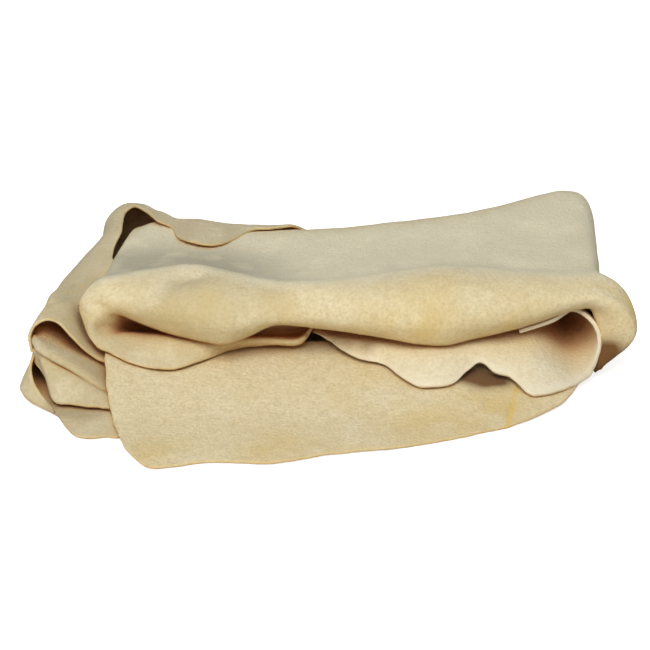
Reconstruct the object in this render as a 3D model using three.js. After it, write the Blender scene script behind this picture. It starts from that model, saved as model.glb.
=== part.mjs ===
// A chamois leather: one soft skin, folded in on itself into a loose pack.
// Each mesh is one run of the skin between two folds. Millimetres, +Z up, -Y is the front of the pack.
import * as THREE from 'three';

// Driving dimensions
const SKIN = 1.8;             // thickness of the leather
const GAP = 0.5;              // clearance between neighbouring runs and between stacked layers

const TOP_WIDTH = 210;        // top panel, between its two end folds
const TOP_HEIGHT = 40;        // top panel above the floor
const TOP_DEPTH = 71;         // from the ridge of the front roll to the back edge, at the left end
const BACK_SKEW = 30.5;       // extra depth of the back edge at the right end
const BACK_RISE = 6;          // extra height of the back edge at the right end
const BACK_BULGE = 10;        // how far the rear fold stands out behind the back edge
const ROLL_EDGE_HEIGHT = 20;  // lower edge of the front roll above the floor
const MOUTH = 1;              // free height between the roll's lower edge and the tongue under it

const APRON_REACH = 96;       // front corner of the apron ahead of the roll's ridge
const APRON_FLAT = 34;        // length of the apron that lies flat on the floor
const APRON_RISE = 9;         // how far the apron climbs under the roll
const PLEAT_CLIMB = 2.5;      // extra climb of the apron's left margin over the pleats

const RIGHT_BULGE = 20;       // right end fold beyond the top panel
const LEFT_BULGE = 13;        // left end fold beyond the top panel
const CURL_RADIUS = 11.3;     // the curl at the tongue's right end
const LOWER_LENGTH = 70;      // the lower panel, from the right end fold back to the left

const FLANK_REACH = 33;       // the left flank's fold beyond the top panel
const FLANK_HEIGHT = 31;      // crest of the left flank above the floor, at the front
const CORNER_REACH = 35;      // the base's curled corner beyond the top panel
const ARCH_RISE = 8;          // the rear arch above the top panel

// Places that follow from them
const TOP_MIDDLE = 10;
const LEFT = TOP_MIDDLE - TOP_WIDTH / 2;
const RIGHT = TOP_MIDDLE + TOP_WIDTH / 2;
const FLOOR = SKIN / 2;
const LAYER = SKIN + GAP;
const UNDER = FLOOR + LAYER;
const INNER = ROLL_EDGE_HEIGHT - LAYER - MOUTH;

const leather = new THREE.MeshStandardMaterial({ color: 0xdcc795, roughness: 0.95, metalness: 0 });
const pack = new THREE.Group();

const { lerp, clamp } = THREE.MathUtils;
const at = (x, y, z) => new THREE.Vector3(x, y, z);
const across = (share) => lerp(LEFT, RIGHT, share);
const steps = (from, to, count) => Array.from({ length: count + 1 }, (_, i) => lerp(from, to, i / count));
const ease = (value, from, to) => {
  const part = clamp((value - from) / (to - from), 0, 1);
  return part * part * (3 - 2 * part);
};

// A smooth function through [place, value, value, ...] rows, level beyond its ends.
function through(rows) {
  const places = rows.map((row) => row[0]);
  const size = rows[0].length - 1;
  const values = rows.flatMap((row) => row.slice(1));
  const curve = new THREE.CubicInterpolant(places, values, size, new Float64Array(size));
  return (place) => Array.from(curve.evaluate(clamp(place, places[0], places.at(-1))));
}

// A smooth surface through ribs of equally many points: u counts the ribs, v the points along them.
// settle moves each of its points to where it lies.
function lofted(ribs, settle = (p) => p) {
  const [lastRib, lastPoint] = [ribs.length - 1, ribs[0].length - 1];
  const curve = (points) => new THREE.CatmullRomCurve3(points, false, 'centripetal');
  const rails = ribs.map(curve);
  const point = (u, v) => {
    const first = clamp(Math.floor(u) - 1, 0, Math.max(lastRib - 3, 0));
    const near = rails.slice(first, first + 4).map((rail) => rail.getPoint(v / lastPoint));
    return settle(curve(near).getPoint((u - first) / (near.length - 1)));
  };
  const normal = (u, v) => {
    const step = 0.01;
    const along = point(Math.min(u + step, lastRib), v).sub(point(Math.max(u - step, 0), v));
    const over = point(u, Math.min(v + step, lastPoint)).sub(point(u, Math.max(v - step, 0)));
    return along.cross(over).normalize();
  };
  return { point, normal };
}

// One run of the skin over the kept cells of a surface's lines us by vs: two faces SKIN apart and a rim,
// its outline drawn in by half a gap.
function run(name, surface, us, vs, keep = () => true) {
  const points = us.map((u) => vs.map((v) => surface.point(u, v)));
  const normals = us.map((u) => vs.map((v) => surface.normal(u, v)));
  const [columns, rows] = [us.length - 1, vs.length - 1];
  const has = (i, j) => i >= 0 && j >= 0 && i < columns && j < rows && keep(i, j);
  const inward = (i, j, x, y) => points[i + x][j + y].clone().sub(points[i][j]).setLength(GAP / 2);
  const drawnIn = (i, j) => {
    const point = points[i][j].clone();
    const missing = [[-1, -1], [0, -1], [-1, 0], [0, 0]].filter(([x, y]) => !has(i + x, j + y));
    const corner = missing.length === 1 ? missing[0] : null;
    const open = (axis, side) => missing.filter((cell) => cell[axis] === side).length === 2;
    if (corner ? corner[0] === -1 : open(0, -1)) point.add(inward(i, j, 1, 0));
    if (corner ? corner[0] === 0 : open(0, 0)) point.add(inward(i, j, -1, 0));
    if (corner ? corner[1] === -1 : open(1, -1)) point.add(inward(i, j, 0, 1));
    if (corner ? corner[1] === 0 : open(1, 0)) point.add(inward(i, j, 0, -1));
    return point;
  };
  const position = [];
  const index = [];
  const made = new Map();
  const vertex = (i, j, side) => {
    const key = `${i} ${j} ${side}`;
    if (!made.has(key)) {
      made.set(key, position.length / 3);
      position.push(...drawnIn(i, j).addScaledVector(normals[i][j], side * SKIN / 2));
    }
    return made.get(key);
  };
  const quad = (a, b, c, d) => index.push(a, b, c, a, c, d);
  for (let i = 0; i < columns; i += 1) {
    for (let j = 0; j < rows; j += 1) {
      if (!has(i, j)) continue;
      const corners = [[i, j], [i + 1, j], [i + 1, j + 1], [i, j + 1]];
      const beyond = [[i, j - 1], [i + 1, j], [i, j + 1], [i - 1, j]];
      quad(...corners.map(([x, y]) => vertex(x, y, 1)));
      quad(...corners.map(([x, y]) => vertex(x, y, -1)).reverse());
      beyond.forEach((cell, k) => {
        if (has(...cell)) return;
        const [from, to] = [corners[k], corners[(k + 1) % 4]];
        quad(vertex(...from, -1), vertex(...to, -1), vertex(...to, 1), vertex(...from, 1));
      });
    }
  }
  const geometry = new THREE.BufferGeometry();
  geometry.setAttribute('position', new THREE.Float32BufferAttribute(position, 3));
  geometry.setIndex(index);
  const mesh = new THREE.Mesh(geometry, leather);
  mesh.name = name;
  pack.add(mesh);
}

// Apron: height of its middle surface above the floor, in front of the roll and under it.
const APRON_BACK = 4;
const APRON_FALL = through([[0.62, 1], [0.8, 0.75], [1, 0.3]]);
const OVER_BASE = [26, 13];         // where it climbs onto the base, right of the top's left end
const OVER_PLEATS = [16, 0];        // where it climbs onto the pleats
const PLEATS_FRONT = [-66, -36];    // and how far back, in y
const apronHeight = (x, y) => {
  const right = x - LEFT;
  const climb = APRON_RISE * ease(y, APRON_FLAT - APRON_REACH, APRON_BACK);
  const overBase = LAYER * ease(right, ...OVER_BASE);
  const overPleats = PLEAT_CLIMB * ease(y, ...PLEATS_FRONT) * ease(right, ...OVER_PLEATS);
  return FLOOR + climb * APRON_FALL(right / TOP_WIDTH)[0] + overBase + overPleats;
};

// Back edge of the top, by its place across: share of the skew.
const BACK = through([
  [0.00, 0],
  [0.10, 0],
  [0.22, -0.18],
  [0.41, -0.21],
  [0.51, -0.18],
  [0.62, 0.02],
  [0.736, 0.18],
  [0.84, 0.48],
  [0.96, 0.89],
  [1.00, 1],
]);

// Front roll, by its place across the top: ridge y and rise, belly y and drop, lower edge y and rise.
const ROLL = through([
  [0.00, 6, -1, -4, 8, 1, 4],
  [0.09, 8, 2, -8, 8, -3, 2],
  [0.17, 9, 4, -16, 9, -12, 0.5],
  [0.25, 4, 3, -22, 10, -20, 0],
  [0.33, -3, 2, -20, 10, -9, 2.5],
  [0.39, -5, 2, -19, 10, -7, 1.6],
  [0.44, -6, 2, -18, 10, -6, 0.3],
  [0.58, 1, 3, -21, 10, -17, 0],
  [0.69, 5, 5, -23, 9, -20, 0],
  [0.85, 4, 3, -16, 8, -8, 0],
  [0.92, 4, 2, -12, 7, -5.5, 6.3],
  [0.96, 4, 1.5, -10, 5, -4, 10],
  [1.00, 5, 1, -8, 4, -2, 11],
]);

// The lip under the roll, by its place across the top: bottom of the valley y and z, crest y and z,
// cut edge y and its lift off the apron.
const LIP = through([
  [0.00, 12, 16.5, -1, 18, -17, 1.1],
  [0.03, 14, 14.6, -0.5, 17.7, -20, 0.8],
  [0.06, 16, 12, 0, 16.2, -22.5, 0.4],
  [0.10, 15, 12, -2, 16.5, -23, 0.4],
  [0.17, 8, 12.5, -8, 16.6, -20, 0.4],
  [0.24, 0, 13, -15.5, 16.2, -14.5, 1.2],
  [0.33, 6, 13, -6.5, 16.6, -5, 1.6],
  [0.41, 8, 14, -6, 17, -5, 2.4],
  [0.435, 8, 16, -4.5, 19, -4.5, 5],
  [0.45, 8, 18, -3, 20.5, -3.5, 8],
]);
const LIP_END = [0.425, 0.47];

// Ribs of the rolled skin run from its back edge over the top to the lip's cut edge, through these rows.
const BACK_ROW = 4;
const RIDGE_ROW = 7;
const BELLY_ROW = 9;
const EDGE_ROW = 11;
const ROLL_END_ROW = 12;
const LIP_ROW = 18;
const LEFT_FROM = 3.4;        // first row of the left end fold
const RIGHT_FROM = 2.6;       // first row of the right end fold
const LOWER_FROM = 4.7;       // first and last row of the lower panel
const LOWER_TO = 6;
const END_GAP = 0.1;          // clearance of the end folds from the top, in ribs
const TOP_STEPS = 20;
const CORNER_INSET = [10, 9.5, 9, 8, 4.5, 1.5, 1];

// A rib over the top: up the rear fold, over the top panel, down the front roll and under it.
function topRib(share) {
  const [ridgeY, ridgeRise, bellyY, bellyDrop, edgeY, edgeRise] = ROLL(share);
  const backY = TOP_DEPTH + BACK_SKEW * BACK(share)[0];
  const backZ = TOP_HEIGHT + BACK_RISE * ease(share, 0.3, 1.05);
  const half = (backZ - FLOOR) / 2;
  const rear = (turn) => [backY + BACK_BULGE * Math.cos(turn), FLOOR + half + half * Math.sin(turn)];
  const dip = TOP_HEIGHT - 3 + 3 * ease(share, 0.3, 0.6);
  const [ridgeZ, bellyZ] = [TOP_HEIGHT + ridgeRise, TOP_HEIGHT - bellyDrop];
  const edgeZ = ROLL_EDGE_HEIGHT + edgeRise;
  const rows = [
    rear(-Math.PI / 2),
    rear(-Math.PI / 4),
    rear(0),
    rear(Math.PI / 4),
    [backY - 4, backZ],
    [lerp(ridgeY, backY, 0.5), lerp(dip, backZ, 0.3)],
    [ridgeY + 10, lerp(dip, ridgeZ, 0.5)],
    [ridgeY, ridgeZ],
    [lerp(ridgeY, bellyY, 0.7), ridgeZ - 3],
    [bellyY, bellyZ],
    [lerp(bellyY, edgeY, 0.3), lerp(bellyZ, edgeZ, 0.6)],
    [edgeY, edgeZ],
    ...underRows(share, edgeY, edgeZ),
  ];
  const corner = 1 - ease(share, 0, 0.15);
  const rib = rows.map(([y, z], row) => at(across(share) + corner * (CORNER_INSET[row] ?? 0), y, z));
  return drawnOut(rib, 0.8 * (1 - ease(share, 0, 0.06)));
}

// On from the roll's lower edge: in to the bottom of the valley, out to the crest of the lip and down to its
// cut edge. Right of the lip these rows only turn in behind the roll.
function underRows(share, edgeY, edgeZ) {
  const [valleyY, valleyZ, crestY, crestZ, cutY, lift] = LIP(share);
  const cutZ = apronHeight(across(share), cutY) + LAYER + lift;
  const shown = [
    [edgeY + 3.5, edgeZ + 0.8],
    [lerp(edgeY, valleyY, 0.6), lerp(edgeZ, valleyZ, 0.5) + 1.6],
    [valleyY, valleyZ],
    [lerp(valleyY, crestY, 0.45), lerp(valleyZ, crestZ, 0.35)],
    [crestY, crestZ],
    [lerp(crestY, cutY, 0.5) - 1, lerp(crestZ, cutZ, 0.5) + 0.8],
    [cutY, cutZ],
  ];
  const hidden = ease(share, ...LIP_END);
  return shown.map(([y, z], i) => [lerp(y, edgeY + 5 + 4 * i, hidden), lerp(z, edgeZ + 1.5, hidden)]);
}

// Draws the valley under the roll out to a plain bulge from the belly to the lip's cut edge.
function drawnOut(rib, part) {
  const [belly, cut] = [rib[BELLY_ROW], rib[LIP_ROW]];
  return rib.map((point, row) => {
    if (row <= BELLY_ROW) return point;
    const t = (row - BELLY_ROW) / (LIP_ROW - BELLY_ROW);
    const swell = Math.sin(Math.PI * t);
    const y = lerp(belly.y, cut.y, t) - 1.5 * swell;
    const z = lerp(belly.z, cut.z, t) - 0.5 * swell;
    return at(point.x, lerp(point.y, y, part), lerp(point.z, z, part));
  });
}

// The rounded left end of the roll and its lip, drawn together to a blunt nose.
const NOSE = { y: 1, z: 28.5 };
const NOSE_BULGES = [0.08, 0.1, 0.12, 0.14, 0.15, 0.16, 0.38, 0.92];
const WALL_FOOT = 28;
function noseRib(first, keep) {
  const out = LEFT_BULGE * Math.sqrt(1 - keep * keep);
  return drawnOut(first, ease(keep, 1, 0.85)).map(({ x, y, z }, row) => {
    const left = x - (NOSE_BULGES[row] ?? 1) * out;
    if (row < RIDGE_ROW) return at(left, y, lerp(Math.min(z, WALL_FOOT), z, keep));
    const drawn = keep ** (3 - 1.2 * ease(row, RIDGE_ROW, 13));
    return at(left, lerp(NOSE.y, y, drawn), lerp(NOSE.z, z, drawn));
  });
}

// Tongue under the roll, by its place across the top: its cut edge's y and its lift off the apron.
const TONGUE = through([
  [0.43, 12, 1.2],
  [0.45, 2, 3.5],
  [0.465, -6, 4],
  [0.48, -10, 3],
  [0.525, -16, 1.4],
  [0.575, -19, 0.8],
  [0.604, -27, 0.8],
  [0.637, -33.5, 0.5],
  [0.679, -34, 0.5],
  [0.714, -31, 0.6],
  [0.746, -24, 2.5],
  [0.773, -21, 4.2],
  [0.80, -26, 2.6],
  [0.82, -26.5, 2.4],
  [0.84, -31, 1.6],
  [0.861, -37, 0.8],
  [0.882, -41.3, 0.3],
  [0.914, -40, 0.3],
  [0.945, -35, 0.3],
  [0.97, -29, 0.3],
]);
const TONGUE_SHARE = 0.43;
const CURL_SHARE = 0.97;
const TONGUE_STEPS = 40;

// A rib of the tongue: from inside the pack, out under the roll's cut edge and down onto the apron.
function tongueRib(share) {
  const x = across(share);
  const [edgeY, lift] = TONGUE(share);
  const rollY = ROLL(share)[4] + 3;
  const edgeZ = apronHeight(x, edgeY) + LAYER + lift;
  const resting = apronHeight(x, APRON_BACK) + LAYER + 0.3;
  const rootZ = Math.max(resting, lerp(INNER, resting, ease(share, 0.78, 0.93)));
  const inside = [40, 32, 24, 16].map((y) => at(x, y, rootZ));
  const mouth = Math.max(rollY, edgeY + 3);
  return [
    ...inside,
    at(x, lerp(16, mouth, 0.6), rootZ),
    at(x, mouth, lerp(rootZ, edgeZ, 0.08)),
    at(x, lerp(mouth, edgeY, 0.45), lerp(rootZ, edgeZ, 0.34)),
    at(x, lerp(mouth, edgeY, 0.8), lerp(rootZ, edgeZ, 0.74)),
    at(x, edgeY, edgeZ),
  ];
}

// The curl at the tongue's right end, by its turn from straight down: front edge y.
const CURL_FRONT = through([[-90, -29], [-45, -15], [0, -9], [45, -5], [90, 0]]);
function curlRib(degrees, foot) {
  const turn = THREE.MathUtils.degToRad(degrees);
  const front = CURL_FRONT(degrees)[0];
  const [out, rise] = [CURL_RADIUS * Math.cos(turn), CURL_RADIUS * (1 + Math.sin(turn))];
  const cut = foot.at(-1).y;
  return foot.map(({ x, y, z }) => at(x + out, lerp(y, front + y - cut, ease(degrees, -90, -40)), z + rise));
}

// The tucked end goes back to the left, close under the roll's lower edge.
const TUCK_SHARES = [0.855, 0.875, 0.9, 0.93];
function tuckRib(share, foot) {
  const [edgeY, edgeRise] = ROLL(share).slice(4);
  const z = ROLL_EDGE_HEIGHT + edgeRise - LAYER - GAP;
  return foot.map(({ y }) => at(across(share), edgeY - 0.8 + 0.9 * (y - foot.at(-1).y), z));
}

// Ribs round the right end fold, from each point of one rib out and down to the same point of the other.
const RIGHT_BULGES = [0.05, 0.05, 0.2, 0.7, 0.9, 0.66, 0.54, 1, 1, 0.9, 0.55, 0.36, 0.36];
function rightRibs(upper, lower, count) {
  return steps(0, 1, count + 1).slice(1, -1).map((part) => RIGHT_BULGES.map((bulge, row) => {
    const turn = Math.PI * (0.5 - part);
    const square = part < 0.5 ? lerp(0.5, 0.9, ease(row, 5, 8)) : lerp(2.4, 1.2, ease(row, 9, 11));
    const [start, end] = [upper[row], lower[row]];
    const middle = (start.z + end.z) / 2;
    const x = lerp(start.x, end.x, part) + RIGHT_BULGE * bulge * Math.cos(turn) ** square;
    return at(x, lerp(start.y, end.y, part), middle + (start.z - middle) * Math.sin(turn));
  }));
}

// The line the right end fold comes down to, and the lower panel that goes on from it to the left.
function lowerRib(x) {
  const lean = [-2, -2, -2, -2, -2, -2, -1, 0, 1, 2, 2.5, 3, 3];
  const rise = [0, 0, 0, 0, 0, 0, 0.2, 0.5, 0.8, 1, 1.5, 2, 2];
  const places = [104, 102, 98, 92, 84, 45, 16, 5, -6, -14, -13, -7, -2];
  return places.map((y, row) => at(x + lean[row], y, UNDER + rise[row]));
}

// The rolled skin: left end fold, top with the roll and the lip under it, right end fold, lower panel.
function makeRolledSkin() {
  const top = steps(0, 1, TOP_STEPS).map(topRib);
  const nose = [0.08, 0.3, 0.55, 0.75, 0.9, 0.97].map((keep) => noseRib(top[0], keep));
  const whole = lofted([...nose, ...top]);
  const topAt = nose.length;
  const topEnd = topAt + TOP_STEPS;
  const lipEnd = topAt + TOP_STEPS * LIP_END[0];
  const us = steps(topAt, topEnd, 2 * TOP_STEPS);
  run('left_fold', whole, steps(0, topAt - END_GAP, 8), steps(LEFT_FROM, LIP_ROW, 16));
  run('rear_fold', whole, steps(topAt, topEnd, TOP_STEPS), steps(0, BACK_ROW, 5));
  run('top_panel', whole, steps(topAt + END_GAP, topEnd, TOP_STEPS), steps(BACK_ROW, RIDGE_ROW, 4));
  const rollRows = steps(RIDGE_ROW, ROLL_END_ROW, 10);
  run('front_roll', whole, us, rollRows, (i, j) => us[i] >= topAt + 1 || rollRows[j] < EDGE_ROW);
  const lipUs = [...steps(topAt, topAt + 1, 2), ...steps(topAt + 1, lipEnd, 15).slice(1)];
  const lipRows = steps(ROLL_END_ROW, LIP_ROW, 12);
  const inCrease = (i, j) => lipUs[i] < topAt + 1 && lipRows[j] < ROLL_END_ROW + 1;
  run('under_roll_panel', whole, lipUs, lipRows, (i, j) => !inCrease(i, j));

  const upper = top.at(-1).slice(0, ROLL_END_ROW + 1);
  const lower = steps(0, LOWER_LENGTH, 3).map((length) => lowerRib(RIGHT - length));
  const right = rightRibs(upper, lower[0], 9);
  const end = lofted([upper, ...right, ...lower]);
  const lowerAt = right.length + 1;
  run('right_fold', end, steps(END_GAP, lowerAt, 12), steps(RIGHT_FROM, ROLL_END_ROW, 12));
  run('lower_panel', end, steps(lowerAt, lowerAt + 3, 3), steps(LOWER_FROM, LOWER_TO, 3));
}

// The tongue with its curl and tucked end, as one surface.
function makeTongue() {
  const foot = tongueRib(CURL_SHARE);
  const tuck = TUCK_SHARES.map((share) => tuckRib(share, foot));
  const curl = [90, 60, 30, 0, -30, -60].map((degrees) => curlRib(degrees, foot));
  const tongue = steps(CURL_SHARE, TONGUE_SHARE, TONGUE_STEPS).map(tongueRib);
  const surface = lofted([...tuck, ...curl, ...tongue]);
  const curlAt = tuck.length;
  const tongueAt = curlAt + curl.length;
  const rows = [0, 2, 3, 4, 5, 6, 7, 8];
  run('tucked_end', surface, steps(0, curlAt, 4), rows);
  run('tongue_curl', surface, steps(curlAt, tongueAt, 9), rows);
  run('tongue_flap', surface, steps(tongueAt, tongueAt + TONGUE_STEPS, TONGUE_STEPS), rows);
}

// Apron, by ribs from left to right: places across the top of its hidden end and its cut edge, and how far
// the cut edge falls short of the front corner.
const APRON = [
  [-0.005, 0.071, 12],
  [0.048, 0.124, 0],
  [0.167, 0.233, 5],
  [0.319, 0.357, 4],
  [0.462, 0.462, 11],
  [0.605, 0.595, 17],
  [0.767, 0.757, 30],
  [0.838, 0.824, 37],
  [0.919, 0.929, 55],
  [0.998, 0.985, 77],
];

// The straight crease where the apron's loose margin lifts: its two ends by place across the top and y.
const CREASE_LEFT = [0.043, -66];
const CREASE_RIGHT = [0.929, -41.2];
const CREASE_ROW = 3;
const CREASE_LAST_RIB = 8;
const creaseY = (share) => {
  const part = (share - CREASE_LEFT[0]) / (CREASE_RIGHT[0] - CREASE_LEFT[0]);
  return lerp(CREASE_LEFT[1], CREASE_RIGHT[1], part);
};

// The apron in front of the pack: a loose margin in front of the crease, the rest goes under the roll.
function makeApron() {
  const ribs = APRON.map(([hidden, cut, shortfall]) => {
    const front = shortfall - APRON_REACH;
    const bend = Math.max(creaseY(cut), lerp(front, APRON_BACK, 0.03));
    const behind = steps(APRON_BACK, bend, CREASE_ROW);
    const places = [...behind, lerp(bend, front, 0.5), front];
    const bow = 1 + 0.6 * ease(hidden, 0.2, 0);
    const shareAt = (y) => lerp(hidden, cut, ((y - APRON_BACK) / (front - APRON_BACK)) ** bow);
    return places.map((y) => at(across(shareAt(y)), y, 0));
  });
  const surface = lofted(ribs, (p) => p.setZ(apronHeight(p.x, p.y)));
  const us = steps(0, ribs.length - 1, 2 * (ribs.length - 1));
  const vs = steps(0, 5, 10);
  const loose = (i, j) => us[i] < CREASE_LAST_RIB && vs[j] >= CREASE_ROW;
  run('front_apron', surface, us, vs, loose);
  run('apron_root', surface, us, vs, (i, j) => !loose(i, j));
}

// Base: the bottom layer, flat on the floor, from the curled corner to the foot of the rear fold.
const CORNER_LINE = [[-22, 24], [-22, -6], [-22, -20], [-21.5, -32], [-20, -41], [-16, -52]];
const FRONT_EDGE = [[-11.5, -62], [-6, -69.5], [0, -70.5], [6, -69.5], [12, -70]];
const HIDDEN_EDGE = [
  [12, -40],
  [24, -27],
  [0.74 * TOP_WIDTH, -27],
  [0.93 * TOP_WIDTH, -10],
  [TOP_WIDTH, 2],
];
const LEFT_EDGE = [[-6, 60], [-12, 45]];
function makeBase() {
  const spot = ([x, y]) => new THREE.Vector2(LEFT + x, y);
  const outline = new THREE.Shape(CORNER_LINE.map(([x, y]) => spot([x + 2 * GAP, y])));
  outline.splineThru(FRONT_EDGE.map(spot));
  const foot = (share) => [share * TOP_WIDTH, topRib(share)[0].y - 2 * GAP];
  const plain = [...HIDDEN_EDGE, ...steps(1, 0, TOP_STEPS).map(foot), ...LEFT_EDGE];
  for (const { x, y } of plain.map(spot)) outline.lineTo(x, y);
  const flat = { depth: SKIN, bevelEnabled: false, curveSegments: 16 };
  const geometry = new THREE.ExtrudeGeometry(outline, flat);
  const mesh = new THREE.Mesh(geometry, leather);
  mesh.name = 'base_panel';
  pack.add(mesh);
}

// The base's left corner, curled up like a cup: lines round the curl to its rim, each from the back to the
// front, drawn for a reach of CORNER_DRAWN.
const CORNER_DRAWN = 35;
function makeCorner() {
  const lines = [
    CORNER_LINE.map(([x, y]) => [x, y, 0]),
    [[-28, 20, 0.4], [-29, -8, 0.6], [-29.5, -22, 0.7], [-29, -32, 0.6], [-26, -40, 0.5], [-17.8, -49, 0]],
    [[-33, 18, 1.4], [-34.4, -8, 2.6], [-35, -22, 3], [-34.6, -32, 2.6], [-30, -39.5, 1.8], [-18.6, -48, 0.4]],
    [[-32, 17, 2.6], [-32.6, -8, 6.4], [-32.4, -22, 8.4], [-32.8, -31, 6], [-29.6, -38, 4], [-19, -47, 0.8]],
    [[-30, 16, 4], [-30.4, -8, 11], [-30, -22, 15.5], [-30.5, -30, 11.6], [-28, -36, 7.8], [-19.4, -46, 1.4]],
  ];
  const out = (x) => LEFT + CORNER_LINE[0][0] + (x - CORNER_LINE[0][0]) * (CORNER_REACH / CORNER_DRAWN);
  const ribs = lines.map((line) => line.map(([x, y, rise]) => at(out(x), y, FLOOR + rise)));
  const surface = lofted(ribs, (p) => p.setZ(Math.max(p.z, FLOOR)));
  run('base_corner', surface, steps(0, lines.length - 1, 10), steps(0, CORNER_LINE.length - 1, 10));
}

// The pleat under the left flank: ribs from left to right, by the place, height and y of the ridge, the
// place, height and y of the foot, and the height at the back.
const PLEAT = [
  [-28.6, 22.4, -21, -26.5, 14, -25, 23],
  [-28.2, 22.8, -24, -24.5, 9, -33, 23],
  [-27, 23.2, -28.5, -20, 3.5, -44, 22.5],
  [-21.5, 20.5, -31, -12, 3.5, -45.5, 18],
  [-13.4, 16.5, -33, -6, 3.4, -47, 9.8],
  [-5, 11.2, -35, 0, 3.3, -48, 7.6],
  [3, 5.4, -36, 5, 3.2, -48.5, 4.8],
];
const PLEAT_BACK = [4, -8];
function makePleat() {
  const ribs = PLEAT.map(([x, ridge, ridgeY, footX, foot, footY, back]) => {
    const belly = (side, front, down) => at(
      LEFT + lerp(x, footX, side), lerp(ridgeY, footY, front), lerp(ridge, foot, down),
    );
    return [
      at(LEFT + x, PLEAT_BACK[0], back),
      at(LEFT + x, PLEAT_BACK[1], lerp(back, ridge, 0.45)),
      at(LEFT + x, lerp(PLEAT_BACK[1], ridgeY, 0.55), ridge - 0.8),
      at(LEFT + x, ridgeY + 1.5, ridge),
      at(LEFT + x, ridgeY - 0.3, ridge - 1.3),
      belly(0.35, 0.28, 0.38),
      belly(0.75, 0.66, 0.76),
      belly(1, 1, 1),
    ];
  });
  run('lower_pleat', lofted(ribs), steps(0, 6, 10), steps(0, 7, 12));
}

// Left flank and rear flap as one surface: sections from the front round the arch to the right, each from the
// rim outwards, drawn for a reach, a height and an arch of FLANK_DRAWN.
const FLANK_DRAWN = { reach: 33, height: 31, arch: 48 };
const FLANK = [
  [[5, -16.5, 9], [-1, -17.7, 10.5], [-8.7, -19, 16.6], [-14, -20, 23.7], [-19, -20, 30], [-24, -20, 31.5],
    [-29, -20.5, 28.8], [-31.5, -21, 24.6], [-31.6, -20.5, 22.8]],
  [[2, 5, 10.5], [-7, 5, 11.5], [-15, 5, 15.5], [-17.5, 5, 22], [-20, 5, 28.5], [-24, 5, 31], [-29, 5, 29.5],
    [-32.3, 5, 24.8], [-32.4, 5, 22.8]],
  [[-10, 15, 15], [-13, 15, 15.5], [-16, 15, 18.5], [-17.5, 15, 23.5], [-19.5, 15, 28.6], [-23, 15, 30.2],
    [-27, 15, 28], [-30, 15, 22.5], [-30.6, 15, 16]],
  [[-3.8, 26, 34.6], [-6.4, 26.5, 35], [-10.7, 27, 34], [-15.5, 27.5, 32], [-20, 28, 29], [-23.5, 28, 24.5],
    [-25.6, 27.5, 17.5], [-26, 27, 9], [-26, 27, 1]],
  [[1, 37, 40.6], [-2.5, 38, 40.3], [-7, 40, 38.4], [-11.5, 41, 35.2], [-15.5, 42, 30.5], [-18.5, 42, 24],
    [-20, 42, 16], [-20.4, 42, 9], [-20.4, 42, 1]],
  [[0.8, 53, 42.4], [-2.2, 54, 42.5], [-5.8, 55.5, 41], [-9, 56.5, 37.5], [-11.5, 57, 32], [-13, 57, 24.5],
    [-13.5, 57, 16], [-13.6, 57, 9], [-13.6, 57, 1]],
  [[1, 62, 44.2], [-1.8, 63, 44.2], [-5, 64.5, 42.2], [-7.5, 65.5, 38], [-9, 66, 32], [-10, 66, 24.5],
    [-10.4, 66, 16], [-10.5, 66, 9], [-10.5, 66, 1]],
  [[1.5, 69, 46.3], [-1.2, 71, 46.6], [-4.6, 73, 45], [-7.8, 74.5, 41], [-9.4, 75, 35], [-10, 75, 27],
    [-10, 75, 18], [-10, 75, 9], [-10, 75, 1]],
  [[5.5, 73.5, 48.2], [2.5, 77.5, 48], [-0.8, 81, 45.8], [-3.4, 83.5, 41.5], [-4.8, 84.7, 35], [-5.2, 85, 27],
    [-5.2, 85, 18], [-5.2, 84.5, 9], [-5.2, 84, 1]],
  [[11.5, 69, 47.4], [10.5, 75.5, 47.4], [8.5, 82, 45.8], [6, 86.5, 41.5], [4.5, 88.6, 35], [4, 89.2, 27],
    [4, 89, 19], [4, 88.5, 10], [4, 88, 2]],
];
const flankPoint = ([x, y, z], section) => {
  const [front, arch] = [FLANK_HEIGHT / FLANK_DRAWN.height, (TOP_HEIGHT + ARCH_RISE) / FLANK_DRAWN.arch];
  const out = x < 0 ? FLANK_REACH / FLANK_DRAWN.reach : 1;
  return at(LEFT + x * out, y, z * lerp(front, arch, ease(section, 2, 4)));
};

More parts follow.
